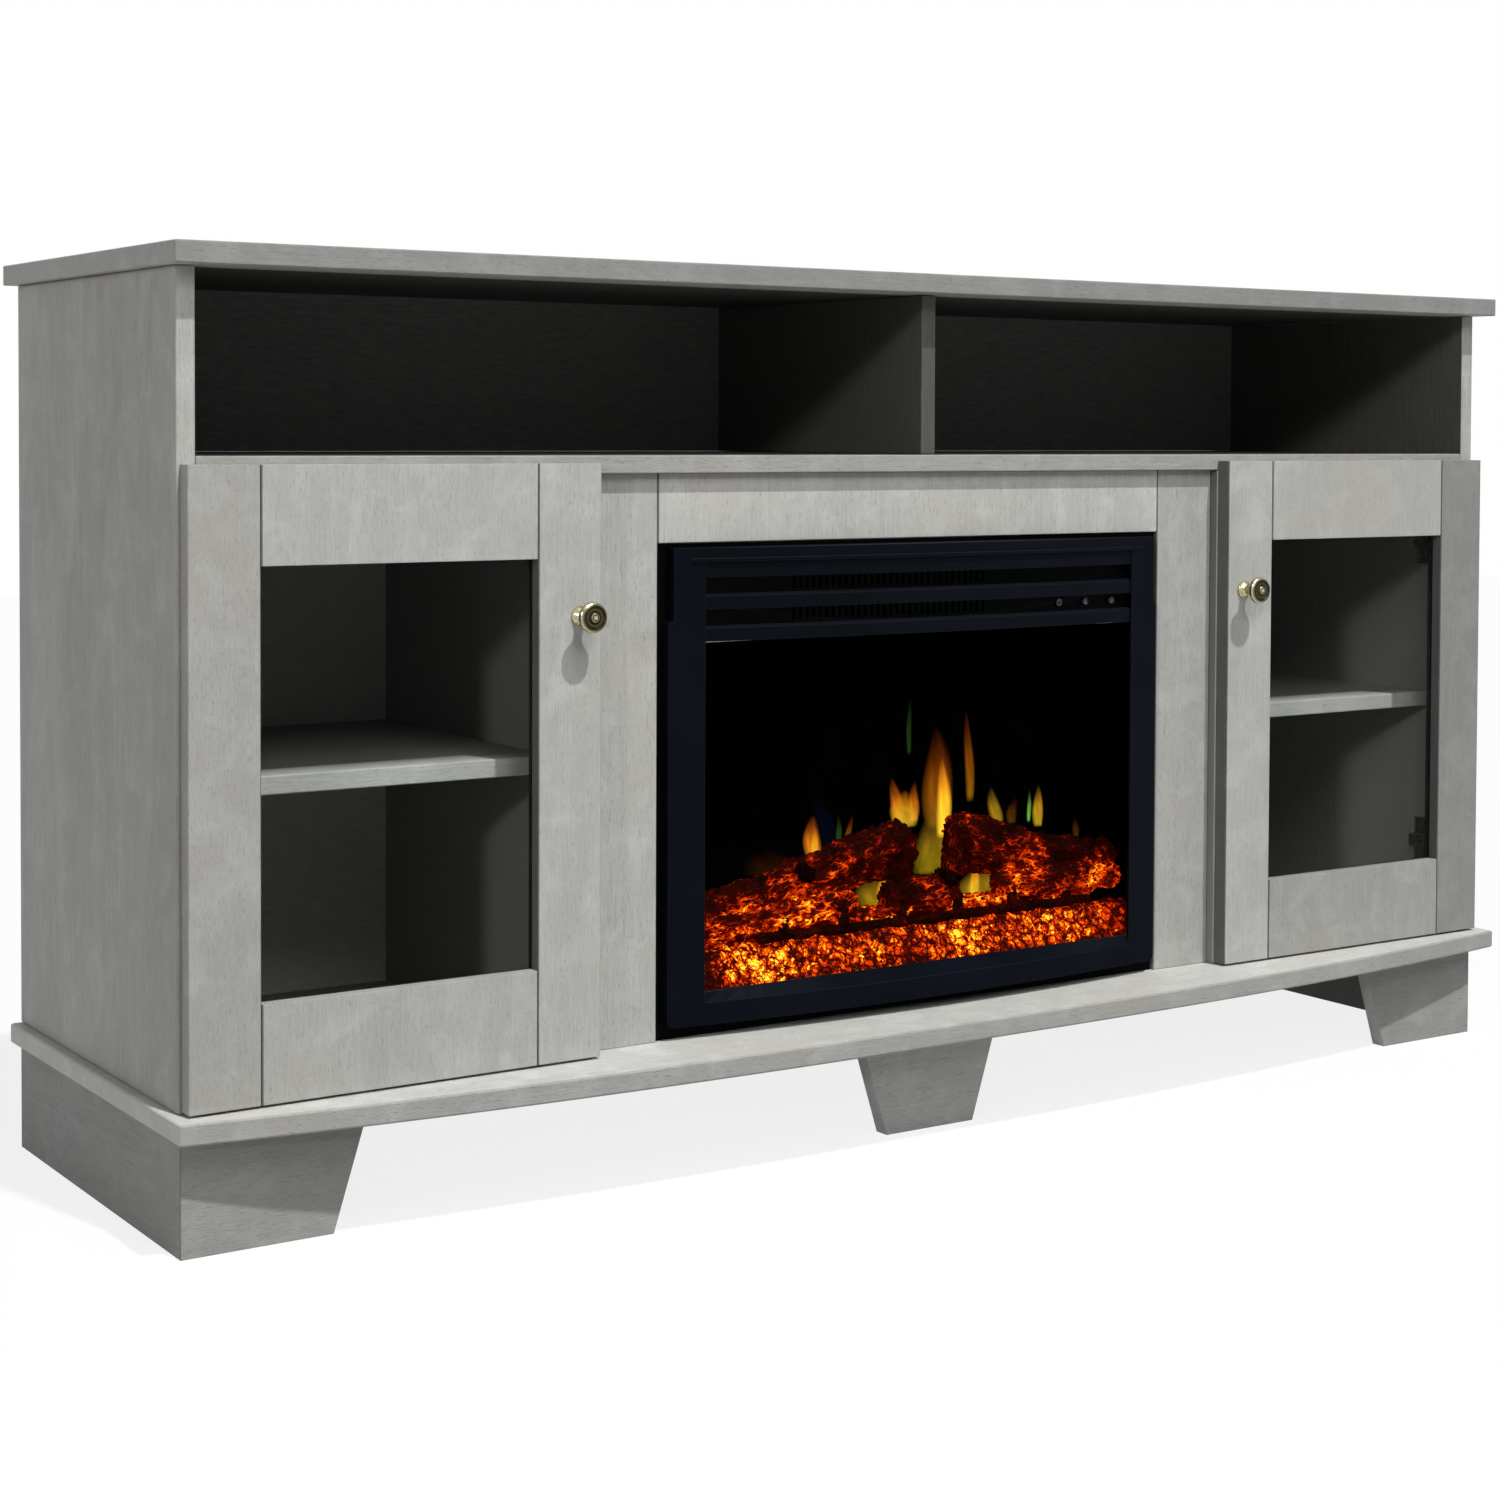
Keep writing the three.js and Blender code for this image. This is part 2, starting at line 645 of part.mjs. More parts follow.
function addTrim() {
  const slab = (depthIn, back, low, high) => solid(bowed([
    [trimFrontEnd + depthIn, low, 1], [back, low, 0], [back, high, 0], [trimFrontEnd + depthIn, high, 1],
  ], trimHalfWidth, trimBowAt, trimBowSteps));
  const far = trimFrontAt(0) - overrun;
  const outer = slab(0, trimBack, trimBottom, trimTop).intersect(solid(carry(trimOutline(0), far, trimBack)));
  const hollow = slab(trimSkin, flangePlane + overrun, ledge, trimTop)
    .intersect(solid(carry(trimOutline(trimSkin), far, flangePlane + overrun)));
  const half = trimHalfWidth;
  const near = flangePlane + overrun;
  const behindGlass = solid(block(-half, half, frontGlassFront - fit, near, ledge, trimTop));
  const aboveSill = solid(block(-half, half, far, near, sillBack, trimTop));
  const lip = trimFrontEnd - overrun;
  const window = solid(bowed([
    [lip, sillLip, 1], [trimFrontEnd, sillLip, 1], [frontGlassFront - fit, sillBack, 0],
    [trimBack + overrun, sillBack, 0], [trimBack + overrun, ventTop, 0], [lip, ventTop, 1],
  ], windowHalfWidth, trimBowAt, trimBowSteps));
  const cap = solid(bowed([
    [trimFrontEnd - capProud, ventTop, 1], [trimFrontEnd + trimSkin, ventTop, 1],
    [trimFrontEnd + trimSkin, ventTop + capHeight, 1], [trimFrontEnd - capProud, ventTop + capHeight, 1],
  ], windowHalfWidth + capLap, trimBowAt, trimBowSteps));
  const inner = hollow.intersect(aboveSill.add(behindGlass));
  const frame = outer.subtract(inner).subtract(window).add(cap);
  const headBlade = blade(louvreBottoms[louvreCount - 1], ventTop + capHeight, windowHalfWidth + trimSkin);
  add('front_trim', geometryOf(frame.add(solid(headBlade))), 'blackMetal');
}

// Louvre blade with a rounded-off nose. The topmost one is pressed in one with the trim's head.
function blade(low, high, halfLength) {
  const front = trimFrontEnd + louvreRecess;
  const back = front + louvreDepth;
  return bowed([
    [front, low, 1], [back, low + louvreSlope, 1], [back, high, 1],
    [front + louvreNose, high, 1], [front, high - louvreNose, 1],
  ], halfLength, trimBowAt, trimBowSteps);
}

function addLouvres() {
  louvreBottoms.slice(0, louvreCount - 1).forEach((z, index) => {
    add(`louvre_blade_${index + 1}`, blade(z, z + louvreHeight, windowHalfWidth - fit), 'blackMetal');
  });
}

function addFrontGlass() {
  const [front, back] = [frontGlassFront, frontGlassFront + frontGlassThickness];
  const pane = block(-glassHalfWidth, glassHalfWidth, front, back, ledge + fit, louvreBottoms[0] - fit);
  add('front_glass', pane, 'clearGlass');
}

// Vent panel: two rows of slots between the blades, and three holes for the buttons
function addVentPanel() {
  const half = trimHalfWidth - trimStep - trimSkin - fit;
  const panelTop = trimTop - trimSkin - fit;
  let panel = solid(block(-half, half, ventPanelFront, ventPanelBack, louvreBottoms[0], panelTop));
  const rows = louvreBottoms.slice(1).map((next, k) => (
    [louvreBottoms[k] + louvreHeight + grilleMargin, next - grilleMargin]
  ));
  for (const [low, high] of rows) {
    for (let k = 0; k < grilleSlots; k += 1) {
      const x = grilleCentre + grillePitch * (k - (grilleSlots - 1) / 2);
      const slotHalf = grilleSlotWidth / 2;
      panel = panel.subtract(solid(block(
        x - slotHalf, x + slotHalf, ventPanelFront - overrun, ventPanelBack + overrun, low, high,
      )));
    }
  }
  const buttonHeight = (rows[0][0] + rows[0][1]) / 2;
  ['power', 'flame', 'heat'].forEach((name, k) => {
    const x = buttonCentre + buttonPitch * (k - 1);
    const hole = rod(buttonRadius + buttonClearance, ventPanelThickness + 2 * overrun);
    panel = panel.subtract(solid(hole.translate(x, (ventPanelFront + ventPanelBack) / 2, buttonHeight)));
    add(`${name}_button`, button().translate(x, ventPanelBack + fit, buttonHeight), 'blackPlastic');
  });
  add('vent_panel', geometryOf(panel), 'blackMetal');
}

// Button: a cap through the panel with a retaining flange behind it
function button() {
  const tip = ventPanelThickness + fit + buttonProud;
  const dish = buttonRadius * buttonDishShare;
  const profile = [
    [0, -buttonFlangeThickness], [buttonRadius + buttonFlange, -buttonFlangeThickness],
    [buttonRadius + buttonFlange, 0], [buttonRadius, 0], [buttonRadius, tip - dish],
    [buttonRadius - dish, tip], [0, tip - dish],
  ];
  return turned(profile, roundSides / 2).rotateX(Math.PI);
}

// Section of the ember bed (y, z): a low front lip, a slope up to the grate bar and a bed behind it
function emberSection(rise) {
  const lip = cavityFloor + fit + emberFrontHeight;
  return [
    [emberFront, cavityFloor + fit], [emberFront + emberDepth, cavityFloor + fit],
    [emberFront + emberDepth, cavityFloor + emberBackHeight + rise],
    [barPlane + 2 * grateBarRadius, barHeight + rise], [barPlane, barHeight + rise],
    [barPlane - emberSlopeDepth / 2, (barHeight + lip) / 2 + rise], [emberFront, lip + rise],
  ];
}

function addEmberBed() {
  let bed = solid(run(emberSection(0), -emberHalfWidth, emberHalfWidth));
  const bar = rod(grateBarRadius, 2 * grateHalfLength, roundSides / 4).rotateZ(Math.PI / 2);
  bed = bed.add(solid(bar.translate(grateCentre, barPlane + grateBarRadius, barHeight)));
  for (let k = 0; k < pegCount; k += 1) {
    const peg = rod(pegRadius, pegHeight, roundSides / 4).rotateX(Math.PI / 2);
    const x = grateCentre + pegPitch * (k - (pegCount - 1) / 2);
    bed = bed.add(solid(peg.translate(x, barPlane + grateBarRadius, barHeight + pegHeight / 2)));
  }
  add('ember_bed', geometryOf(bed), 'emberResin');
}

// Log set. Ends are shares of the fuel bed's half width, depth and rise, the radius of the thickest log's,
// and the turn is where along its wave a log's swelling starts
const logShares = [
  { from: [-0.93, 0.59, 0.18], to: [0.08, 0.6, 0.87], thick: 0.8, swell: 0.14, turn: 0.34, lift: 0 },
  { from: [0.9, 0.6, 0.42], to: [0.27, 0.62, 0.9], thick: 0.76, swell: 0.14, turn: 0.34, lift: 0.05 },
  { from: [-0.97, 0.42, 0.12], to: [-0.17, 0.46, 0.26], thick: 0.6, swell: 0.1, turn: 0.39, lift: 0.05 },
  { from: [-0.03, 0.5, 0.24], to: [0.26, 0.5, 0.26], thick: 0.8, swell: 0.08, turn: 0.55, lift: 0 },
  { from: [0.97, 0.42, 0.24], to: [0.43, 0.46, 0.26], thick: 0.7, swell: 0.12, turn: 0.7, lift: 0 },
  { from: [-0.9, 0.72, 0], to: [0.9, 0.72, 0], thick: 0.6, swell: 0.05, turn: 0.98, lift: 0 },
  { from: [-0.38, 0.6, 0.62], to: [-0.38, 0.27, 0.62], thick: 0.4, swell: 0.1, turn: 0.5, lift: 0 },
  { from: [0.21, 0.6, 0.4], to: [0.21, 0.25, 0.4], thick: 0.38, swell: 0.1, turn: 0.5, lift: 0 },
];

function log({ from, to, thick, swell, turn, lift }) {
  const [start, end] = [from, to].map(([a, b, c]) => new THREE.Vector3(
    a * emberHalfWidth,
    emberFront + b * emberDepth,
    barHeight + c * logRise,
  ));
  const axis = end.clone().sub(start);
  const length = axis.length();
  const profile = [[0, 0]];
  for (let k = 0; k <= logRings; k += 1) {
    const t = k / logRings;
    const wave = Math.sin(2 * Math.PI * (logWaves * t + turn));
    profile.push([thick * logRadius * (1 + swell * (wave - t)), t * length]);
  }
  profile.push([0, length]);
  const geometry = turned(profile, logSides);
  const spot = geometry.attributes.position;
  for (let i = 0; i < spot.count; i += 1) {
    const t = spot.getY(i) / length;
    const arch = 1 - (2 * t - 1) ** 2;
    spot.setZ(i, spot.getZ(i) + arch * lift * logRise);
  }
  const across = new THREE.Vector3(0, 0, 1);
  const along = axis.normalize();
  const side = along.clone().cross(across).normalize();
  const upward = side.clone().cross(along);
  const lay = new THREE.Matrix4().makeBasis(side, along, upward);
  return geometry.applyMatrix4(lay).translate(start.x, start.y, start.z);
}

function addLogs() {
  const logs = logShares.map((share) => solid(log(share)));
  const joined = logs.reduce((all, next) => all.add(next));
  const seat = solid(run(emberSection(fit), -housingHalfWidth, housingHalfWidth));
  const pastBar = barPlane + 2 * grateBarRadius + fit;
  const below = block(-width, width, -width, pastBar, 0, barHeight + pegHeight + fit);
  const behind = block(-width, width, screenFront - fit, width, 0, height);
  const pastLeft = block(-width, fit - cavityHalfWidth, -width, width, 0, height);
  const pastRight = block(cavityHalfWidth - fit, width, -width, width, 0, height);
  let body = joined.subtract(seat);
  for (const cut of [below, behind, pastLeft, pastRight]) {
    body = body.subtract(solid(cut));
  }
  add('log_set', geometryOf(body), 'charredResin');
}

function addScreen() {
  const half = cavityHalfWidth - fit;
  const depth = [screenFront, screenFront + screenThickness];
  const screen = block(-half, half, ...depth, cavityFloor + fit, fireCeiling - fit);
  add('flame_screen', screen, 'smokedAcrylic');
}

// Flicker spindle: a rod across the housing with paddles set round it, each turned on from the last
function addSpindle() {
  const reach = cavityHalfWidth - fit;
  const centre = [screenFront + screenThickness + spindleFromScreen, cavityFloor + spindleHeight];
  let spindle = solid(rod(spindleRadius, 2 * reach, roundSides / 4).rotateZ(Math.PI / 2));
  const pitch = 2 * (reach - paddleWidth) / paddleCount;
  for (let k = 0; k < paddleCount; k += 1) {
    const x = pitch * (k - (paddleCount - 1) / 2);
    const [half, thin] = [paddleWidth / 2, paddleThickness / 2];
    const paddle = block(x - half, x + half, -thin, thin, -paddleReach, paddleReach);
    spindle = spindle.add(solid(paddle.rotateX(2 * Math.PI * paddleTurnShare * k)));
  }
  add('flicker_spindle', geometryOf(spindle).translate(0, ...centre), 'bareAluminium');
}

// Heater tray: the deck over the fire with a duct on it, open in front and behind, and the blower wheel in it
function addBlower() {
  const [x0, x1] = [grilleCentre - ductHalfLength, grilleCentre + ductHalfLength];
  const [ductBack, ductTop] = [ductFront + ductDepth, deckTop + ductHeight];
  const deckHalf = cavityHalfWidth - fit;
  const deck = solid(block(-deckHalf, deckHalf, ductFront, housingBack - sheet - fit, fireCeiling, deckTop));
  const duct = solid(block(x0, x1, ductFront, ductBack, fireCeiling, ductTop));
  const through = [ductFront - overrun, ductBack + overrun];
  const hole = solid(block(x0 + sheet, x1 - sheet, ...through, deckTop, ductTop - sheet));
  add('heater_tray', geometryOf(duct.subtract(hole).add(deck)), 'bareAluminium');

  const half = ductHalfLength - sheet - fit;
  const bladeHalf = half - wheelDisc;
  let wheel = solid(rod(wheelShaftRadius, 2 * half, roundSides / 4).rotateZ(Math.PI / 2));
  for (const x of [-bladeHalf, 0, bladeHalf]) {
    const disc = rod(wheelRadius, wheelDisc, roundSides).rotateZ(Math.PI / 2);
    wheel = wheel.add(solid(disc.translate(x, 0, 0)));
  }
  for (let k = 0; k < wheelBlades; k += 1) {
    const [thin, rim] = [wheelBladeThickness / 2, wheelRadius - fit];
    const blade = block(-bladeHalf, bladeHalf, -thin, thin, rim - wheelBladeDepth, rim);
    wheel = wheel.add(solid(blade.rotateX(2 * Math.PI * k / wheelBlades)));
  }
  const centre = [ductFront + ductDepth / 2, deckTop + ductHeight / 2];
  add('blower_wheel', geometryOf(wheel).translate(grilleCentre, ...centre), 'bareAluminium');
}

addSlabs();
addCarcass();
addCentreFrame();
addFeet();
addDoor('left', -1);
addDoor('right', 1);
addHousing();
addTrim();
addLouvres();
addFrontGlass();
addVentPanel();
addEmberBed();
addLogs();
addScreen();
addSpindle();
addBlower();

export default model;
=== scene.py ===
import math

import bmesh
import bpy
from mathutils import Matrix, Vector, noise


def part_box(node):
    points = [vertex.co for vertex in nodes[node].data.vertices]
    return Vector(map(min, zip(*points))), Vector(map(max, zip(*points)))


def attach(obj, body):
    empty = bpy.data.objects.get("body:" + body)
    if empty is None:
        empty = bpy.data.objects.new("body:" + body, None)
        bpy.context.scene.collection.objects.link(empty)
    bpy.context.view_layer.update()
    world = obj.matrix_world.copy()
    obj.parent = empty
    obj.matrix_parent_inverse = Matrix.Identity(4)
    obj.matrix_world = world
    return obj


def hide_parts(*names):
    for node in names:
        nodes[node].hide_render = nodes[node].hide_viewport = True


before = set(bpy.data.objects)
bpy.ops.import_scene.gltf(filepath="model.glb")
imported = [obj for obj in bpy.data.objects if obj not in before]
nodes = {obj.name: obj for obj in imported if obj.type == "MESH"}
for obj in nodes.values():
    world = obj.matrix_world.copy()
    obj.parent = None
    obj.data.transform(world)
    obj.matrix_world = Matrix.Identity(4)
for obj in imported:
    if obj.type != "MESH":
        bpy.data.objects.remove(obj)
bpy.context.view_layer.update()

SIDES = ("left", "right")

# A millimetre in metres, and the margin that a limit keeps from the face that it follows
MM = 0.001
HAIR = 0.2 * MM


# Camera at the photograph's viewing angle: focal length and axis point in pixels of a 1500 square image
FOCAL_PX = 2642.1
AXIS_PX = (786.35, 513.97)
IMAGE_PX = 1500
SENSOR_MM = 36
CLIP_END = 50
CAMERA_AT = Vector((-1.497458, -2.157393, 0.660147))
YAW, PITCH, ROLL = -0.58981, -0.03178, 0.00464


def add_camera():
    right = Vector((math.cos(YAW), math.sin(YAW), 0))
    ahead = Vector((-math.sin(YAW) * math.cos(PITCH), math.cos(YAW) * math.cos(PITCH), math.sin(PITCH)))
    up = right.cross(ahead)
    rolled_right = math.cos(ROLL) * right + math.sin(ROLL) * up
    rolled_up = math.cos(ROLL) * up - math.sin(ROLL) * right
    data = bpy.data.cameras.new("camera")
    data.sensor_width = SENSOR_MM
    data.lens = FOCAL_PX / IMAGE_PX * SENSOR_MM
    data.shift_x = 0.5 - AXIS_PX[0] / IMAGE_PX
    data.shift_y = AXIS_PX[1] / IMAGE_PX - 0.5
    data.clip_end = CLIP_END
    camera = bpy.data.objects.new("camera", data)
    turn = Matrix((rolled_right, rolled_up, -ahead)).transposed().to_4x4()
    camera.matrix_world = Matrix.Translation(CAMERA_AT) @ turn
    bpy.context.scene.collection.objects.link(camera)
    bpy.context.scene.camera = camera


class Graph:
    """The nodes of one material or world. Most calls make a node and return its output."""

    def __init__(self, name, kind="materials", output="ShaderNodeOutputMaterial"):
        self.owner = getattr(bpy.data, kind).new(name)
        self.owner.use_nodes = True
        self.tree = self.owner.node_tree
        self.tree.nodes.clear()
        self.output = self.tree.nodes.new(output)

    def feed(self, socket, value):
        if isinstance(value, bpy.types.NodeSocket):
            self.tree.links.new(value, socket)
        elif value is not None:
            socket.default_value = value

    def node(self, kind, inputs=None, **settings):
        made = self.tree.nodes.new(kind)
        for key, value in settings.items():
            setattr(made, key, value)
        for key, value in (inputs or {}).items():
            self.feed(made.inputs[key], value)
        return made

    def math(self, operation, a, b=None, c=None):
        made = self.node("ShaderNodeMath", operation=operation)
        for socket, value in zip(made.inputs, (a, b, c)):
            self.feed(socket, value)
        return made.outputs[0]

    def chain(self, operation, values):
        total = values[0]
        for value in values[1:]:
            total = self.math(operation, total, value)
        return total

    def times(self, *values):
        return self.chain("MULTIPLY", values)

    def plus(self, *values):
        return self.chain("ADD", values)

    def most(self, *values):
        return self.chain("MAXIMUM", values)

    def length(self, a, b):
        return self.math("SQRT", self.plus(self.times(a, a), self.times(b, b)))

    def vector_math(self, operation, inputs):
        return self.node("ShaderNodeVectorMath", inputs, operation=operation).outputs

    def place(self):
        return self.node("ShaderNodeTexCoord").outputs["Object"]

    def stretch(self, vector, scale):
        return self.node("ShaderNodeMapping", {"Vector": vector, "Scale": scale}).outputs[0]

    def split(self, vector):
        return self.node("ShaderNodeSeparateXYZ", {0: vector}).outputs

    def noise(self, vector, scale, detail=4.0, roughness=0.5, distortion=0.0):
        made = self.node("ShaderNodeTexNoise", {
            "Vector": vector, "Scale": scale, "Detail": detail, "Roughness": roughness,
            "Distortion": distortion,
        })
        return made.outputs[0]

    def cell_edges(self, vector, scale):
        """Distance to the nearest edge between the cells of a lumpy pattern."""
        sockets = {"Vector": vector, "Scale": scale}
        return self.node("ShaderNodeTexVoronoi", sockets, feature="DISTANCE_TO_EDGE").outputs["Distance"]

    def span(self, value, low, high, to_low=0.0, to_high=1.0):
        made = self.node("ShaderNodeMapRange", {
            "Value": value, "From Min": low, "From Max": high, "To Min": to_low, "To Max": to_high,
        })
        return made.outputs[0]

    def mix(self, share, a, b, blend="MIX"):
        made = self.node("ShaderNodeMix", data_type="RGBA", blend_type=blend)
        self.feed(made.inputs[0], share)
        self.feed(made.inputs[6], a)
        self.feed(made.inputs[7], b)
        return made.outputs[2]

    def shaded(self, colour, share):
        """A colour made lighter or darker by one share."""
        return self.mix(1.0, colour, (share, share, share, 1.0), "MULTIPLY")

    def ramp(self, value, stops):
        made = self.node("ShaderNodeValToRGB", {0: value})
        elements = made.color_ramp.elements
        while len(elements) < len(stops):
            elements.new(0.5)
        for element, (spot, colour) in zip(elements, stops):
            element.position = spot
            element.color = colour
        return made.outputs[0]

    def bump(self, height, strength, distance, normal=None):
        made = self.node("ShaderNodeBump", {"Strength": strength, "Distance": distance, "Height": height})
        self.feed(made.inputs["Normal"], normal)
        return made.outputs[0]

    def face_normal(self):
        return self.node("ShaderNodeNewGeometry").outputs["Normal"]

    def rounded(self, radius, normal):
        """The normal over softened edges, and its cosine with the face: below 1 only at an edge."""
        soft = self.node("ShaderNodeBevel", {"Radius": radius}, samples=3).outputs[0]
        return soft, self.vector_math("DOT_PRODUCT", {0: soft, 1: normal})["Value"]

    def blend(self, share, first, second):
        """One shader turning into another."""
        return self.node("ShaderNodeMixShader", {0: share, 1: first, 2: second}).outputs[0]

    def clear(self, colour=None):
        return self.node("ShaderNodeBsdfTransparent", {"Color": colour}).outputs[0]

    def emission(self, colour, strength):
        return self.node("ShaderNodeEmission", {"Color": colour, "Strength": strength}).outputs[0]

    def seen(self):
        """1 for what the camera sees, also in a reflection and through glass, and 0 for light in the room."""
        path = self.node("ShaderNodeLightPath").outputs
        return self.most(path["Is Camera Ray"], path["Is Glossy Ray"], path["Is Transmission Ray"])

    def surface(self, **sockets):
        shader = self.node("ShaderNodeBsdfPrincipled", {k.replace("_", " "): v for k, v in sockets.items()})
        self.show(shader.outputs[0])

    def show(self, shader):
        self.tree.links.new(shader, self.output.inputs["Surface"])


def rgba(red, green, blue):
    """A colour as it reads on screen, 0 to 255, turned to linear light."""
    linear = [(c / 255 / 12.92) if c / 255 <= 0.04045 else ((c / 255 + 0.055) / 1.055) ** 2.4
              for c in (red, green, blue)]
    return (*linear, 1.0)


# Open-grained wood under a light grey stain, brushed thin. The grain runs along one axis.
# Scales are in features per metre, across and along the grain.
GRAIN = (620.0, 26.0)
PORES = (1100.0, 150.0)
BANDS = (48.0, 3.0)
FIGURE = (12.0, 3.0)
WOOD_EDGE = 1.2 * MM
PORE_DEPTH = 0.4 * MM

# Where the V grooves between stiles and rails lie, as distances from the middle. They get a dark painted shade.
SEAMS = [
    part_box("frame_top_rail")[1].x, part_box("right_door_top_rail")[0].x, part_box("right_door_top_rail")[1].x,
]
SEAM_HALF = 1.1 * MM

# Limits of the painted shade inside the cabinet. The cupboards lie below the middle shelf.
INSIDE_HALF_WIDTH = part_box("right_side_panel")[0].x + HAIR
INSIDE_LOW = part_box("base_panel")[1].z - HAIR
INSIDE_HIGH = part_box("top_panel")[0].z + HAIR
CUPBOARD_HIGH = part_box("mid_shelf")[0].z
CARCASS_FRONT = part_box("mid_shelf")[0].y
FRAME_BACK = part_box("frame_top_rail")[1].y


def along_grain(g, place, grain, scale):
    stretched = [scale[0]] * 3
    stretched["xyz".index(grain)] = scale[1]
    return g.stretch(place, stretched)


def grey_stain(g, place, grain, streaks, mottle, blotch):
    """The outside colour before its pores: fine streaks, broad bands, grit and cloudy patches."""
    bands = g.noise(along_grain(g, place, grain, BANDS), 1.0, 3.0, 0.55, 0.6)
    grit = g.noise(place, 820.0, 3.0, 0.7)
    stain = g.mix(g.span(streaks, 0.3, 0.7), rgba(161, 162, 159), rgba(179, 180, 177))
    stain = g.mix(g.span(bands, 0.4, 0.62, 0.0, 0.45), stain, rgba(160, 161, 158))
    stain = g.mix(g.span(grit, 0.5, 0.72, 0.0, 0.3), stain, rgba(138, 137, 132))
    stain = g.mix(g.span(mottle, 0.45, 0.66, 0.0, 0.55), stain, rgba(176, 171, 165))
    return g.mix(g.span(blotch, 0.48, 0.7, 0.0, 0.55), stain, rgba(188, 189, 186))


def inside_painted_shade(g, stain, place, streaks, front, fade):
    """Painted shade behind the front of the inside, with painted light that makes it a little lighter low in
    the cupboards.
    """
    x, y, z = g.split(place)[:3]
    walls = g.math("LESS_THAN", g.math("ABSOLUTE", x), INSIDE_HALF_WIDTH)
    deep = g.span(y, front, front + fade)
    above = g.math("GREATER_THAN", z, INSIDE_LOW)
    below = g.math("LESS_THAN", z, INSIDE_HIGH)
    # The dark colours are painted shade. Below the middle shelf, painted light lifts them towards the bottom.
    dark = g.mix(g.span(streaks, 0.3, 0.7), rgba(70, 69, 67), rgba(84, 83, 80))
    in_cupboard = g.math("LESS_THAN", z, CUPBOARD_HIGH)
    cupboard_painted_light = g.times(in_cupboard, g.span(z, CUPBOARD_HIGH, INSIDE_LOW, 0.35, 1.0))
    dark = g.mix(cupboard_painted_light, dark, rgba(134, 133, 127))
    return g.mix(g.times(g.times(walls, deep), g.times(above, below)), stain, dark)


def wood(name, grain, inside=None, fade=0.4 * MM, painted_light_share=1.0, figure=0.05, front_painted_shade=1.0, left_painted_shade=None,
         seams=()):
    """inside is the depth where the painted shade of the inside starts, fade how far it takes. tone scales the
    whole board: painted light above 1, painted shade below 1. front_painted_shade paints shade on the front
    faces and left_painted_shade on the faces to the left. figure is how strongly the worn, darker boards show."""
    g = Graph(name)
    place = g.place()
    streaks = g.noise(along_grain(g, place, grain, GRAIN), 1.0, 4.0, 0.6, 0.2)
    pores = g.noise(along_grain(g, place, grain, PORES), 1.0, 2.0, 0.5)
    mottle = g.noise(place, 6.0, 5.0, 0.62)
    blotch = g.noise(place, 26.0, 4.0, 0.6, 0.5)
    stain = grey_stain(g, place, grain, streaks, mottle, blotch)
    pore_mask = g.span(pores, 0.58, 0.7)
    # tone scales the whole board: above 1 it is painted light, below 1 painted shade.
    stain = g.shaded(g.mix(g.times(pore_mask, 0.42), stain, rgba(122, 121, 117)), painted_light_share)

    boards = g.noise(along_grain(g, place, grain, FIGURE), 1.0, 3.0, 0.6, 1.2)
    worn = g.times(g.span(boards, 0.4, 0.62), g.span(mottle, 0.36, 0.6, 0.4, 1.0))
    stain = g.mix(g.times(worn, figure), stain, rgba(92, 90, 87))
    aside = g.math("ABSOLUTE", g.split(place)[0])
    # Painted shade in the V grooves between the boards.
    for seam in seams:
        groove = g.math("COMPARE", aside, seam, SEAM_HALF)
        stain = g.mix(g.times(groove, 0.72), stain, rgba(58, 57, 54))

    normal = g.face_normal()
    # Painted shade on the faces to the left and on the front faces.
    if left_painted_shade is not None:
        to_left = g.math("GREATER_THAN", g.times(g.split(normal)[0], -1.0), 0.6)
        stain = g.mix(to_left, stain, g.shaded(stain, left_painted_shade))
    if front_painted_shade < 1.0:
        to_front = g.math("LESS_THAN", g.split(normal)[1], -0.6)
        stain = g.mix(to_front, stain, g.shaded(stain, front_painted_shade))
    # Painted shade on the faces inside the cabinet, behind the given depth.
    if inside is not None:
        stain = inside_painted_shade(g, stain, place, streaks, inside, fade)

    edge, bend = g.rounded(WOOD_EDGE, normal)
    # Rounded edges painted lighter in patches: a painted highlight, with wear.
    wear_and_highlight = g.times(g.span(bend, 0.995, 0.9), g.span(blotch, 0.4, 0.6, 0.1, 0.7))
    relief = g.math("SUBTRACT", g.times(streaks, 0.4), g.times(pore_mask, 0.7))
    g.surface(
        Base_Color=g.mix(g.times(wear_and_highlight, 0.3), stain, rgba(212, 212, 208)),
        Roughness=g.span(streaks, 0.3, 0.7, 0.6, 0.48),
        Normal=g.bump(relief, 0.5, PORE_DEPTH, edge),
        Specular_IOR_Level=0.26,
    )
    return g.owner


def back_board(name, painted_light_colours=None):
    """Thin board at the back, dark as painted shade. lift gives its colours at the top and at the bottom of a
    cupboard, painted light that is lighter at the bottom.
    """
    g = Graph(name)
    place = g.place()
    fibre = g.noise(g.stretch(place, (60, 60, 320)), 1.0, 4.0, 0.6)
    if painted_light_colours is None:
        # Dark colours as painted shade, with dust over them.
        dust = g.noise(place, 4.0, 3.0, 0.6)
        colour = g.mix(g.span(fibre, 0.3, 0.7), rgba(93, 91, 89), rgba(110, 108, 105))
        colour = g.mix(g.span(dust, 0.45, 0.7, 0.0, 0.3), colour, rgba(118, 112, 104))
    else:
        # Painted light: lighter towards the bottom of the cupboard.
        colour = g.mix(g.span(g.split(place)[2], CUPBOARD_HIGH, INSIDE_LOW), *painted_light_colours)
        colour = g.mix(g.span(fibre, 0.3, 0.7, 0.0, 0.3), colour, rgba(110, 108, 105))
    g.surface(
        Base_Color=colour, Roughness=g.span(fibre, 0.3, 0.7, 0.8, 0.68), Normal=g.bump(fibre, 0.3, 0.2 * MM),
    )
    return g.owner


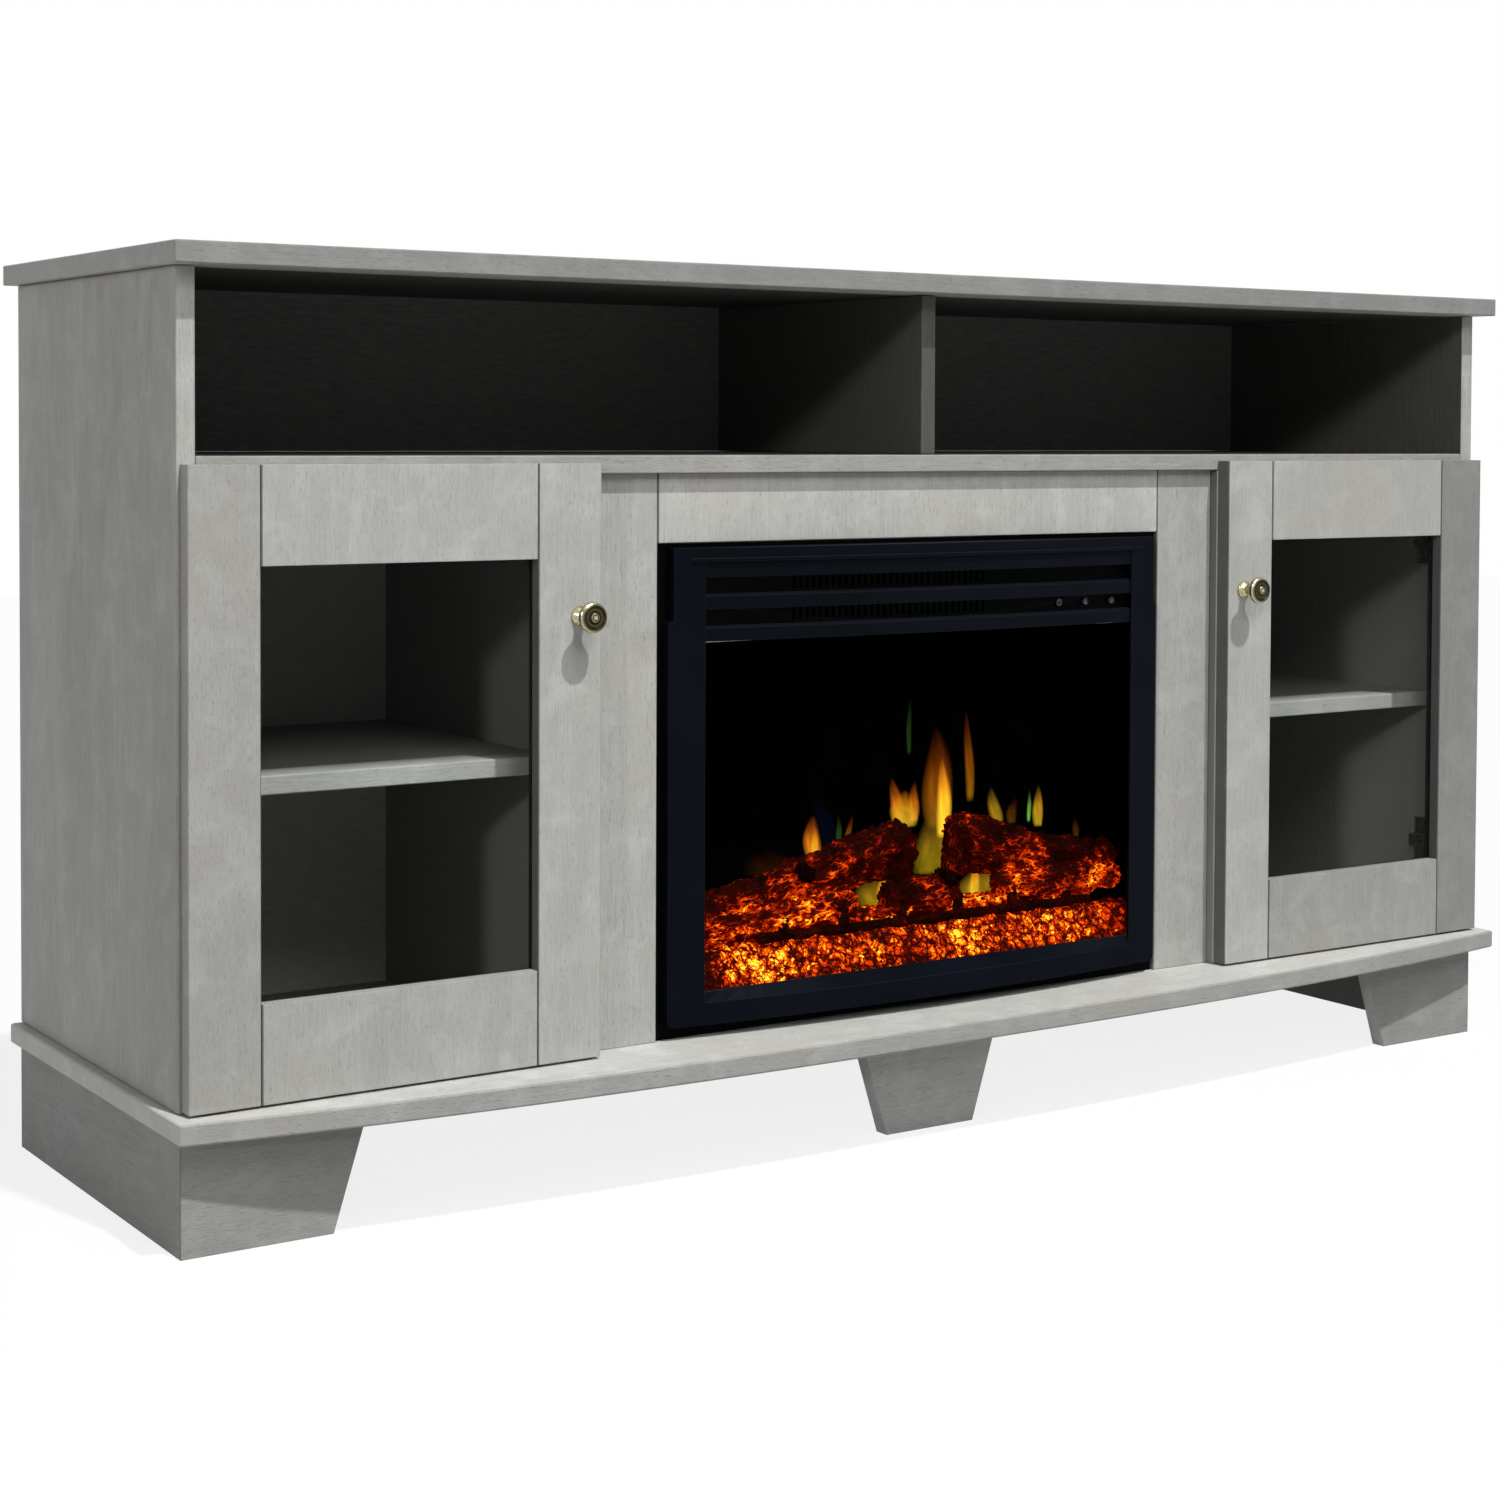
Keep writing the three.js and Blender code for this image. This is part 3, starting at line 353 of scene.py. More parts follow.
def glass(name, tint, bending, smears):
    """A pane that lets light from the room through unbent, with faint smears as its roughness."""
    g = Graph(name)
    smear = g.noise(g.stretch(g.place(), (18, 18, 30)), 1.0, 4.0, 0.6)
    pane = g.node("ShaderNodeBsdfPrincipled", {
        "Base Color": tint, "Roughness": g.span(smear, 0.45, 0.75, 0.0, smears), "IOR": bending,
        "Transmission Weight": 1.0,
    })
    path = g.node("ShaderNodeLightPath").outputs
    let_light = g.most(path["Is Shadow Ray"], path["Is Diffuse Ray"])
    g.show(g.blend(let_light, pane.outputs[0], g.clear(tint)))
    return g.owner


def painted_metal(name, dark, light, roughness, black_between=None):
    """Powder-coated sheet, lighter at its rounded edges as a painted highlight, and dead black between the two
    depths given.
    """
    g = Graph(name)
    place = g.place()
    peel = g.noise(place, 900.0, 3.0, 0.6)
    cloud = g.noise(place, 9.0, 4.0, 0.6)
    edge, bend = g.rounded(0.9 * MM, g.face_normal())
    colour = g.mix(g.span(cloud, 0.35, 0.65), dark, light)
    # Painted highlight along the rounded edges.
    colour = g.mix(g.span(bend, 0.99, 0.85, 0.0, 0.25), colour, rgba(70, 78, 90))
    if black_between is not None:
        depth = g.split(place)[1]
        behind = g.math("GREATER_THAN", depth, black_between[0])
        before = g.math("LESS_THAN", depth, black_between[1])
        colour = g.mix(g.times(behind, before), colour, rgba(2, 2, 2))
    g.surface(
        Base_Color=colour, Metallic=0.0, Specular_IOR_Level=0.035,
        Roughness=g.span(cloud, 0.3, 0.7, roughness, roughness + 0.12),
        Normal=g.bump(peel, 0.18, 0.2 * MM, edge),
    )
    return g.owner


def bare_metal(name, dark, light, roughness):
    """Metal brushed from side to side."""
    g = Graph(name)
    place = g.place()
    brush = g.noise(g.stretch(place, (60.0, 1600.0, 1600.0)), 1.0, 3.0, 0.6)
    patina = g.noise(place, 240.0, 4.0, 0.65)
    g.surface(
        Base_Color=g.mix(g.span(brush, 0.3, 0.7), dark, light), Metallic=1.0,
        Roughness=g.span(patina, 0.35, 0.65, roughness, roughness + 0.15),
        Normal=g.bump(brush, 0.12, 0.1 * MM),
    )
    return g.owner


def plastic(name, dark, light, roughness, gloss=0.25):
    g = Graph(name)
    place = g.place()
    grain = g.noise(place, 1500.0, 2.0)
    cloud = g.noise(place, 30.0, 3.0)
    g.surface(
        Base_Color=g.mix(g.span(cloud, 0.35, 0.65), dark, light), Specular_IOR_Level=gloss,
        Roughness=g.span(grain, 0.3, 0.7, roughness, roughness + 0.1),
        Normal=g.bump(grain, 0.2, 0.1 * MM),
    )
    return g.owner


def dress(material, *names):
    for name in names:
        slots = nodes[name].data.materials
        slots.clear()
        slots.append(material)


# Painted light and shade on some boards: how light each is beside the others, darker to the right, towards the
# bottom and on the outer stiles, lighter on the frame's top rail
BOARD_PAINTED_LIGHT = {
    "frame_top_rail": 1.14, "left_door_outer_stile": 0.86, "right_door_outer_stile": 0.6,
    "left_door_bottom_rail": 0.92, "right_door_bottom_rail": 0.8, "right_frame_stile": 0.93,
}
# Colours of the cupboards' back boards at the top and at the bottom: painted light, lighter at the bottom
CUPBOARD_BACK_PAINTED_LIGHT = (rgba(152, 151, 145), rgba(202, 201, 193))
# How far the outside colour runs in from the front of the carcass and of the shelves before the painted shade
# of the inside, and how softly it ends
CARCASS_BAND = 1 * MM
SHELF_BAND = 4 * MM
SHELF_FADE = 30 * MM


def dress_cabinet():
    # Depths where the painted shade of the inside starts.
    deep = CARCASS_FRONT + CARCASS_BAND
    shelf_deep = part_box("right_shelf")[0].y + SHELF_BAND
    upright = wood("grey_wood_upright", "z", seams=SEAMS)
    # Painted light and shade: the centre feet lighter, the plinth boards darker, the base slab lighter so that
    # its top reads lit, and painted shade on the front faces of the middle shelf, the slabs and the front feet.
    level = wood("grey_wood_level", "x", painted_light_share=1.12)
    carcass_upright = wood("grey_wood_carcass_upright", "z", inside=deep, figure=0.24)
    carcass_level = wood("grey_wood_carcass_level", "x", inside=deep, front_painted_shade=0.8)
    top_slab = wood("grey_wood_top_slab", "x", inside=FRAME_BACK, front_painted_shade=0.62)
    base_slab = wood("grey_wood_base_slab", "x", inside=FRAME_BACK, front_painted_shade=0.61, painted_light_share=1.33)
    foot = wood("grey_wood_foot", "x", front_painted_shade=0.7)
    plinth = wood("grey_wood_plinth", "y", painted_light_share=0.6, figure=0.2)
    shelf = wood("grey_wood_shelf", "x", inside=shelf_deep, fade=SHELF_FADE)
    dress(top_slab, "top_panel")
    dress(base_slab, "base_panel")
    dress(carcass_level, "mid_shelf")
    dress(carcass_upright, "bay_divider")
    dress(level, "centre_front_foot", "centre_rear_foot")
    for side in SIDES:
        dress(carcass_upright, f"{side}_side_panel", f"{side}_partition")
        dress(upright, f"{side}_frame_stile", f"{side}_door_outer_stile", f"{side}_door_inner_stile")
        dress(upright, f"{side}_door_top_rail", f"{side}_door_bottom_rail")
        dress(foot, f"{side}_front_foot")
        dress(plinth, f"{side}_plinth_board")
        dress(shelf, f"{side}_shelf")
    for board, painted_light_share in BOARD_PAINTED_LIGHT.items():
        dress(wood(f"grey_wood_{board}", "z", painted_light_share=painted_light_share, seams=SEAMS), board)
    # Painted shade on the left edge of the right door.
    inner_stile = wood("grey_wood_right_inner_stile", "z", left_painted_shade=0.28, seams=SEAMS)
    dress(inner_stile, "right_door_inner_stile")
    dress(back_board("bay_back_board"), "upper_back_panel")
    dress(back_board("cupboard_back_board", CUPBOARD_BACK_PAINTED_LIGHT), "left_cupboard_back", "right_cupboard_back")


# Turned knob: radii in mm of its rings from the middle out, with how dark the patina lies there
KNOB_RINGS = [
    (0.0, 0.0), (1.8, 0.1), (2.5, 1.0), (3.5, 0.55), (4.4, 1.0), (5.6, 0.97), (7.0, 0.9), (8.8, 0.98),
    (9.6, 1.0), (11.2, 0.85), (12.4, 0.3), (14.0, 0.0),
]
KNOB_FACE_DEPTH = 5 * MM
RING_DEPTH = 1.2 * MM


def knob_brass():
    """Antique brass, polished where it is touched and dark in the turned grooves."""
    g = Graph("antique_brass")
    place = g.place()
    low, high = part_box("right_knob")
    x, y, z = g.split(place)[:3]
    across = g.math("SUBTRACT", g.math("ABSOLUTE", x), (low.x + high.x) / 2)
    up = g.math("SUBTRACT", z, (low.z + high.z) / 2)
    reach = KNOB_RINGS[-1][0]
    stops = [(radius / reach, (dark, dark, dark, 1.0)) for radius, dark in KNOB_RINGS]
    grooves = g.ramp(g.math("DIVIDE", g.length(across, up), reach * MM), stops)
    dark = g.times(grooves, g.math("LESS_THAN", y, low.y + KNOB_FACE_DEPTH))
    patina = g.span(g.noise(place, 420.0, 4.0, 0.65), 0.4, 0.65, 0.1, 0.6)
    g.surface(
        Base_Color=g.mix(g.most(dark, patina), rgba(208, 200, 158), rgba(30, 26, 17)), Metallic=1.0,
        Roughness=g.span(dark, 0.0, 1.0, 0.14, 0.34), Normal=g.bump(grooves, 1.0, -RING_DEPTH),
    )
    return g.owner


def dress_fittings():
    door_glass = glass("clear_glass", (0.95, 0.96, 0.955, 1.0), 1.06, 0.012)
    fire_glass = glass("fire_glass", (0.94, 0.95, 0.95, 1.0), 1.002, 0.0)
    brass = knob_brass()
    nickel = bare_metal("nickel", rgba(150, 150, 148), rgba(198, 198, 194), 0.25)
    strip = plastic("black_plastic", rgba(26, 26, 26), rgba(38, 38, 38), 0.5)
    for side in SIDES:
        dress(door_glass, f"{side}_door_glass")
        dress(brass, f"{side}_knob")
        dress(strip, f"{side}_glass_retainer")
        for level in ("upper", "lower"):
            dress(nickel, f"{side}_{level}_hinge_cup", f"{side}_{level}_hinge_arm")
    dress(fire_glass, "front_glass")


# Printed signs on the buttons. Each LINE is half the width of a drawn line.
RING_RADIUS = 2.7 * MM
RING_LINE = 0.45 * MM
BAR_LINE = 0.4 * MM
BAR_MIDDLE = 2.0 * MM
BAR_HALF_LENGTH = 1.3 * MM
DROP_FOOT = -2.6 * MM
DROP_TIP = 3.4 * MM
DROP_HALF_WIDTH = 2.1 * MM
WAVE_RADIANS_PER_METRE = 1400.0
WAVE_SWING = 0.35 * MM
WAVE_PITCH = 0.9 * MM
WAVE_LINE = 0.3 * MM
WAVES_RADIUS = 2.8 * MM
PRINT_DEPTH = 1.5 * MM


def sign_mask(g, across, up, sign):
    """Where a button's printed sign lies: a ring with a bar, a drop, or three short waves."""
    near = g.length(across, up)
    if sign == "ring":
        ring = g.math("COMPARE", near, RING_RADIUS, RING_LINE)
        bar_width = g.math("COMPARE", across, 0.0, BAR_LINE)
        bar_length = g.math("COMPARE", up, BAR_MIDDLE, BAR_HALF_LENGTH)
        return g.most(ring, g.times(bar_width, bar_length))
    if sign == "drop":
        half = g.span(up, DROP_FOOT, DROP_TIP, DROP_HALF_WIDTH, 0.0)
        inside = g.math("LESS_THAN", g.math("ABSOLUTE", across), half)
        return g.times(inside, g.math("GREATER_THAN", up, DROP_FOOT))
    wave = g.times(g.math("SINE", g.times(up, WAVE_RADIANS_PER_METRE)), WAVE_SWING)
    folded = g.math("PINGPONG", g.plus(across, wave, 10 * WAVE_PITCH), WAVE_PITCH)
    lines = g.math("LESS_THAN", folded, WAVE_LINE)
    return g.times(lines, g.math("LESS_THAN", near, WAVES_RADIUS))


def button_skin(node, sign):
    g = Graph(f"{node}_plastic")
    place = g.place()
    low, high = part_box(node)
    x, y, z = g.split(place)[:3]
    across = g.math("SUBTRACT", x, (low.x + high.x) / 2)
    up = g.math("SUBTRACT", z, (low.z + high.z) / 2)
    face = g.math("LESS_THAN", y, low.y + PRINT_DEPTH)
    print_mask = g.times(sign_mask(g, across, up, sign), face)
    grain = g.noise(place, 1500.0, 2.0)
    skin = g.mix(g.span(grain, 0.35, 0.65), rgba(15, 16, 19), rgba(22, 23, 27))
    g.surface(
        Base_Color=g.mix(print_mask, skin, rgba(150, 154, 160)), Specular_IOR_Level=0.2,
        Roughness=g.span(grain, 0.3, 0.7, 0.32, 0.42), Normal=g.bump(grain, 0.2, 0.1 * MM),
    )
    return g.owner


def dress_insert():
    black = painted_metal("black_metal", rgba(5, 8, 14), rgba(9, 13, 21), 0.4)
    fire_room = (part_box("vent_panel")[1].y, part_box("flame_screen")[0].y)
    olive = painted_metal("housing_metal", rgba(17, 18, 14), rgba(27, 28, 22), 0.5, fire_room)
    vent_black = painted_metal("vent_black", rgba(6, 7, 9), rgba(10, 11, 13), 0.5)
    bright = bare_metal("bare_aluminium", rgba(150, 152, 155), rgba(205, 207, 210), 0.28)
    dull = bare_metal("dull_aluminium", rgba(34, 35, 37), rgba(52, 53, 56), 0.45)
    dress(black, "front_trim", "louvre_blade_1", "louvre_blade_2")
    dress(vent_black, "vent_panel")
    dress(olive, "firebox_housing", "housing_back")
    dress(bright, "flicker_spindle", "heater_tray")
    dress(dull, "blower_wheel")
    for button, sign in (("power_button", "ring"), ("flame_button", "drop"), ("heat_button", "waves")):
        dress(button_skin(button, sign), button)
    dress(plastic("smoked_acrylic", rgba(2, 2, 3), rgba(4, 4, 5), 0.3, 0.0), "flame_screen")


def new_object(name, bm, material):
    mesh = bpy.data.meshes.new(name)
    bm.to_mesh(mesh)
    bm.free()
    mesh.materials.append(material)
    made = bpy.data.objects.new(name, mesh)
    bpy.context.scene.collection.objects.link(made)
    return made


def add_piece(name, bm, material, smooth=True):
    """A visible piece of the insert, which stands still with the cabinet."""
    bmesh.ops.recalc_face_normals(bm, faces=bm.faces)
    for face in bm.faces:
        face.smooth = smooth
    piece = new_object(name, bm, material)
    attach(piece, "cabinet")
    return piece


FIN_PITCH = 3.2 * MM
FIN_THICKNESS = 0.8 * MM
FIN_DEPTH = 6 * MM
HEATER_GAP = 5 * MM


def add_heater():
    """The heating element between the outlet slots and the blower wheel: a core with upright fins."""
    tray_low, tray_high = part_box("heater_tray")
    wheel_low, wheel_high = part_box("blower_wheel")
    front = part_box("vent_panel")[1].y + HEATER_GAP
    core = front + FIN_DEPTH
    rise = (tray_low.z + HEATER_GAP, tray_high.z - HEATER_GAP)
    bm = bmesh.new()

    def plate(x0, x1, y0, y1):
        middle = Vector(((x0 + x1) / 2, (y0 + y1) / 2, sum(rise) / 2))
        size = Vector((x1 - x0, y1 - y0, rise[1] - rise[0]))
        bmesh.ops.create_cube(bm, size=1, matrix=Matrix.Translation(middle) @ Matrix.Diagonal((*size, 1)))

    plate(wheel_low.x, wheel_high.x, core, wheel_low.y - HEATER_GAP)
    for k in range(int((wheel_high.x - wheel_low.x) / FIN_PITCH)):
        x = wheel_low.x + (k + 0.5) * FIN_PITCH
        plate(x - FIN_THICKNESS / 2, x + FIN_THICKNESS / 2, front, core + FIN_THICKNESS)
    skin = painted_metal("heater_black", rgba(9, 9, 10), rgba(16, 16, 17), 0.55)
    add_piece("heating_element", bm, skin, smooth=False)


# Fuel bed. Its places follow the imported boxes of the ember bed, the log set and the screen.
bed_low, bed_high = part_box("ember_bed")
logs_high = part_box("log_set")[1]
screen_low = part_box("flame_screen")[0]
PEG_HEIGHT = 18 * MM
PEG_RADIUS = 4.5 * MM
PEG_PITCH = 68 * MM
PEG_COUNT = 6
PEG_SINK = 2 * MM
PEG_TIP = 4 * MM
PEG_FOOT = 1.3
PEG_TAPER = 0.2
PEG_ROUGHNESS = 0.25
BAR_ROUGHNESS = 0.22
BAR_RADIUS = 5 * MM
BAR_HALF = 200 * MM
BAR_CENTRE = 37 * MM
CAST_SIDES = 14
BAR_RINGS = 200
PEG_RINGS = 12
SLOPE_DEPTH = 24 * MM
LIP_RISE = 36 * MM
BAR_HEIGHT = bed_high.z - PEG_HEIGHT
BAR_PLANE = bed_low.y + SLOPE_DEPTH
BACK_HEIGHT = bed_low.z + 52 * MM
LOG_RISE = 92 * MM
LOG_RADIUS = 25 * MM
LOG_WAVES = 1.11
BED_HALF = (bed_high.x - bed_low.x) / 2
BED_DEPTH = bed_high.y - bed_low.y

# Where the lamps under the bed shine through most: x, z, reach in x, reach in z (mm) and strength
BED_LAMPS = [
    (-170, 166, 46, 17, 1.15), (-60, 165, 38, 14, 0.8), (62, 166, 38, 17, 0.9), (185, 170, 44, 18, 0.5),
    (-120, 195, 60, 9, 0.5), (18, 196, 30, 8, 0.5), (160, 200, 52, 12, 0.14), (244, 205, 26, 15, 0.55),
]
# The glow dies away towards the two ends of the bed: where it is full and where it has sunk to END_GLOW
LEFT_LIT = -186 * MM
LEFT_DIM = -236 * MM
RIGHT_LIT = BED_HALF - 34 * MM
END_GLOW = 0.3
# The bark glows most below BARK_HOT and least above BARK_COOL
BARK_HOT = BAR_HEIGHT + 12 * MM
BARK_COOL = BAR_HEIGHT + 80 * MM

# Colour of the glow by its heat, from black to yellow
HEAT_STOPS = [
    (0.0, (0.0, 0.0, 0.0, 1)), (0.12, (0.035, 0.001, 0.0, 1)), (0.28, (0.36, 0.012, 0.0, 1)),
    (0.46, (0.9, 0.07, 0.001, 1)), (0.64, (1.0, 0.2, 0.002, 1)), (0.82, (1.0, 0.45, 0.008, 1)),
    (1.0, (1.0, 0.74, 0.04, 1)),
]
# Depth of the fine lumps on embers and bark
CHAR_RELIEF = 2 * MM


def lamp_heat(g, place):
    """How strongly the lamps below shine through at a place: a sum of soft spots."""
    x, _, z = g.split(place)[:3]
    spots = []
    for lamp_x, lamp_z, wide, tall, strength in BED_LAMPS:
        across = g.math("DIVIDE", g.math("SUBTRACT", x, lamp_x * MM), wide * MM)
        up = g.math("DIVIDE", g.math("SUBTRACT", z, lamp_z * MM), tall * MM)
        far = g.plus(g.times(across, across), g.times(up, up))
        spots.append(g.times(g.math("POWER", math.e, g.times(far, -1.0)), strength))
    return g.plus(*spots)


def end_share(g, place):
    """What share of the glow is left near the ends of the bed."""
    x = g.split(place)[0]
    left = g.span(x, LEFT_DIM, LEFT_LIT, END_GLOW, 1.0)
    return g.times(left, g.span(x, RIGHT_LIT, BED_HALF, 1.0, END_GLOW))


def warped(g, place, scale, reach):
    """The place, pushed about by a coarse noise, so that cells drawn in it have uneven edges."""
    warp = g.node("ShaderNodeTexNoise", {"Vector": place, "Scale": scale, "Detail": 3.0}).outputs["Color"]
    push = g.vector_math("SCALE", {0: warp, "Scale": reach})[0]
    return g.vector_math("ADD", {0: place, 1: push})[0]


def glowing(g, char, heat, strength, roughness, relief):
    g.surface(
        Base_Color=char, Roughness=roughness, Specular_IOR_Level=0.0, Emission_Color=g.ramp(heat, HEAT_STOPS),
        Emission_Strength=strength, Normal=g.bump(relief, 0.8, CHAR_RELIEF),
    )
    return g.owner


def ember_glow(name):
    """Lumps of translucent resin: each glows by its own amount, with dark joints between them."""
    g = Graph(name)
    place = g.place()
    bent = warped(g, place, 80.0, 30 * MM)
    lumps = g.node("ShaderNodeTexVoronoi", {"Vector": bent, "Scale": 112.0})
    own = g.span(g.split(lumps.outputs["Color"])[0], 0.0, 1.0, 0.22, 1.0)
    joints = g.span(g.cell_edges(bent, 112.0), 0.02, 0.16)
    folds = g.span(g.cell_edges(warped(g, place, 200.0, 8 * MM), 260.0), 0.0, 0.14, 0.3, 1.0)
    fine = g.span(g.noise(place, 620.0, 3.0, 0.6), 0.35, 0.7)
    patch = g.span(g.noise(place, 26.0, 3.0, 0.6), 0.38, 0.6, 0.2, 1.0)
    clumps = g.span(g.cell_edges(warped(g, place, 50.0, 30 * MM), 60.0), 0.0, 0.22, 0.2, 1.0)
    texture = g.times(joints, clumps, folds, own, g.plus(0.6, g.times(fine, 0.6)))
    lamps = lamp_heat(g, place)
    level = g.plus(g.times(patch, 0.72), g.times(lamps, 2.3))
    under = g.plus(g.times(patch, 0.16), g.times(lamps, 0.1))
    heat = g.times(g.plus(g.times(texture, level), g.times(under, clumps)), end_share(g, place))
    char = g.mix(fine, (0.006, 0.0015, 0.001, 1), (0.025, 0.006, 0.0025, 1))
    return glowing(g, char, heat, 1.5, 0.75, g.plus(joints, g.times(fine, 0.3)))


def bark_glow(name, lean, strength):
    """Charred bark: broken cracks along the log glow, most near the bed and its lamps."""
    g = Graph(name)
    place = g.place()
    turned = g.node("ShaderNodeMapping", {"Vector": place, "Rotation": (0, lean, 0)}).outputs[0]
    bent = warped(g, turned, 75.0, 20 * MM)
    wide = g.span(g.cell_edges(g.stretch(bent, (26, 88, 100)), 1.0), 0.1, 0.0)
    thin = g.span(g.cell_edges(g.stretch(bent, (60, 190, 215)), 1.0), 0.13, 0.0)
    flecks = g.span(g.noise(bent, 520.0, 3.0, 0.65), 0.5, 0.72)
    broken = g.span(g.noise(place, 62.0, 3.0, 0.6), 0.42, 0.64, 0.1, 1.0)
    patch = g.span(g.noise(place, 24.0, 3.0, 0.6), 0.38, 0.6, 0.2, 1.0)
    low = g.span(g.split(place)[2], BARK_COOL, BARK_HOT, 0.42, 1.0)
    lamps = lamp_heat(g, place)
    texture = g.plus(g.times(wide, 0.8), g.times(thin, 0.42), g.times(flecks, 0.14))
    level = g.plus(g.times(patch, broken, low), g.times(lamps, broken, 0.7))
    under = g.plus(g.times(patch, low, 0.11), g.times(lamps, 0.06))
    heat = g.times(g.plus(g.times(texture, level), under), g.times(end_share(g, place), strength))
    char = g.mix(flecks, (0.004, 0.002, 0.0015, 1), (0.018, 0.006, 0.0035, 1))
    return glowing(g, char, heat, 1.35, 0.8, g.math("SUBTRACT", flecks, wide))


def bed_top(y):
    """Height of the ember bed's surface at a depth, before its coals."""
    if y < BAR_PLANE:
        share = (y - bed_low.y) / SLOPE_DEPTH
        return bed_low.z + LIP_RISE + share * (BAR_HEIGHT - bed_low.z - LIP_RISE)
    back = max(0.0, (y - BAR_PLANE - 2 * BAR_RADIUS) / (bed_high.y - BAR_PLANE - 2 * BAR_RADIUS))
    return BAR_HEIGHT + min(1.0, back) * (BACK_HEIGHT - BAR_HEIGHT)


# Coals: the step of their mesh, lumps and grit per metre, how far a lump rises, how deep its foot lies under
# the bed's surface and behind the bed's front, and what share of a lump stands out from the front lip
COAL_STEP = 2.0 * MM
COAL_LUMPS = 75
COAL_GRIT = 260
COAL_LIFT = 8 * MM
COAL_SINK = 6 * MM
COAL_INSET = 3 * MM
LIP_SHARE = 0.45


def coal_height(x, y):
    near = noise.voronoi(Vector((x * COAL_LUMPS, y * COAL_LUMPS, 3.1)))[0]
    lump = max(0.0, 0.8 - near[0]) * COAL_LIFT
    grit = noise.fractal(Vector((x * COAL_GRIT, y * COAL_GRIT, 0.7)), 0.8, 2.1, 3)
    return lump + grit * MM


def coal_section(x):
    """One closed outline of the bed at x: up the front lip, over the coals and down the back."""
    rows = int(BED_DEPTH / COAL_STEP)
    face_rows = int(LIP_RISE / COAL_STEP)
    points = []
    for j in range(face_rows):
        z = bed_low.z + j * LIP_RISE / face_rows
        out = COAL_INSET - LIP_SHARE * coal_height(x, z + 1)
        points.append((x, bed_low.y + max(0.0, out), z))
    for j in range(rows + 1):
        y = bed_low.y + COAL_INSET + j * (BED_DEPTH - COAL_INSET) / rows
        points.append((x, y, bed_top(y) - COAL_SINK + coal_height(x, y)))
    points.append((x, bed_high.y, bed_low.z))
    return points


def add_coals():
    bm = bmesh.new()
    columns = int(2 * BED_HALF / COAL_STEP)
    places = [-BED_HALF + i * 2 * BED_HALF / columns for i in range(columns + 1)]
    grid = [[bm.verts.new(point) for point in coal_section(x)] for x in places]
    count = len(grid[0])
    for i in range(columns):
        for j in range(count):
            k = (j + 1) % count
            bm.faces.new((grid[i][j], grid[i + 1][j], grid[i + 1][k], grid[i][k]))
    bm.faces.new(grid[0])
    bm.faces.new(grid[columns])
    coals = add_piece("coals", bm, ember_glow("hot_coals"))
    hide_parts("ember_bed")


def tube(bm, start, end, sides, rings, reach):
    """A closed round bar whose surface lies at reach(share along, angle) from its middle line."""
    axis = (end - start).normalized()
    side = axis.cross(Vector((0, 0, 1))).normalized()
    up = side.cross(axis)
    loops = []
    for k in range(rings + 1):
        share = k / rings
        centre = start.lerp(end, share)
        loop = []
        for i in range(sides):
            angle = 2 * math.pi * i / sides
            out = math.cos(angle) * side + math.sin(angle) * up
            loop.append(bm.verts.new(centre + out * reach(share, angle)))
        loops.append(loop)
    for k in range(rings):
        for i in range(sides):
            j = (i + 1) % sides
            bm.faces.new((loops[k][i], loops[k][j], loops[k + 1][j], loops[k + 1][i]))
    for loop in (loops[0], loops[-1]):
        centre = bm.verts.new(sum((v.co for v in loop), Vector()) / sides)
        for i in range(sides):
            bm.faces.new((loop[i], loop[(i + 1) % sides], centre))


def add_grate():
    """The grate bar and its pegs, roughly cast and burnt black."""
    bm = bmesh.new()
    depth = BAR_PLANE + BAR_RADIUS

    def bar_reach(share, angle):
        rough = noise.noise(Vector((share * 60, angle * 1.5, 0)))
        return BAR_RADIUS * (1 + BAR_ROUGHNESS * rough)

    start = Vector((BAR_CENTRE - BAR_HALF, depth, BAR_HEIGHT))
    tube(bm, start, start + Vector((2 * BAR_HALF, 0, 0)), CAST_SIDES, BAR_RINGS, bar_reach)
    for k in range(PEG_COUNT):
        x = BAR_CENTRE + PEG_PITCH * (k - (PEG_COUNT - 1) / 2)

        def peg_reach(share, angle):
            rough = noise.noise(Vector((share * 4, angle * 1.5, 3.0 * k)))
            return PEG_RADIUS * (PEG_FOOT - PEG_TAPER * share + PEG_ROUGHNESS * rough)

        foot = Vector((x, depth - PEG_SINK, BAR_HEIGHT - PEG_SINK))
        tip = Vector((x + MM * math.sin(3 * k), depth, BAR_HEIGHT + PEG_HEIGHT + PEG_TIP))
        tube(bm, foot, tip, CAST_SIDES, PEG_RINGS, peg_reach)
    add_piece("grate_bar", bm, bark_glow("burnt_bar", 0.0, 0.14))


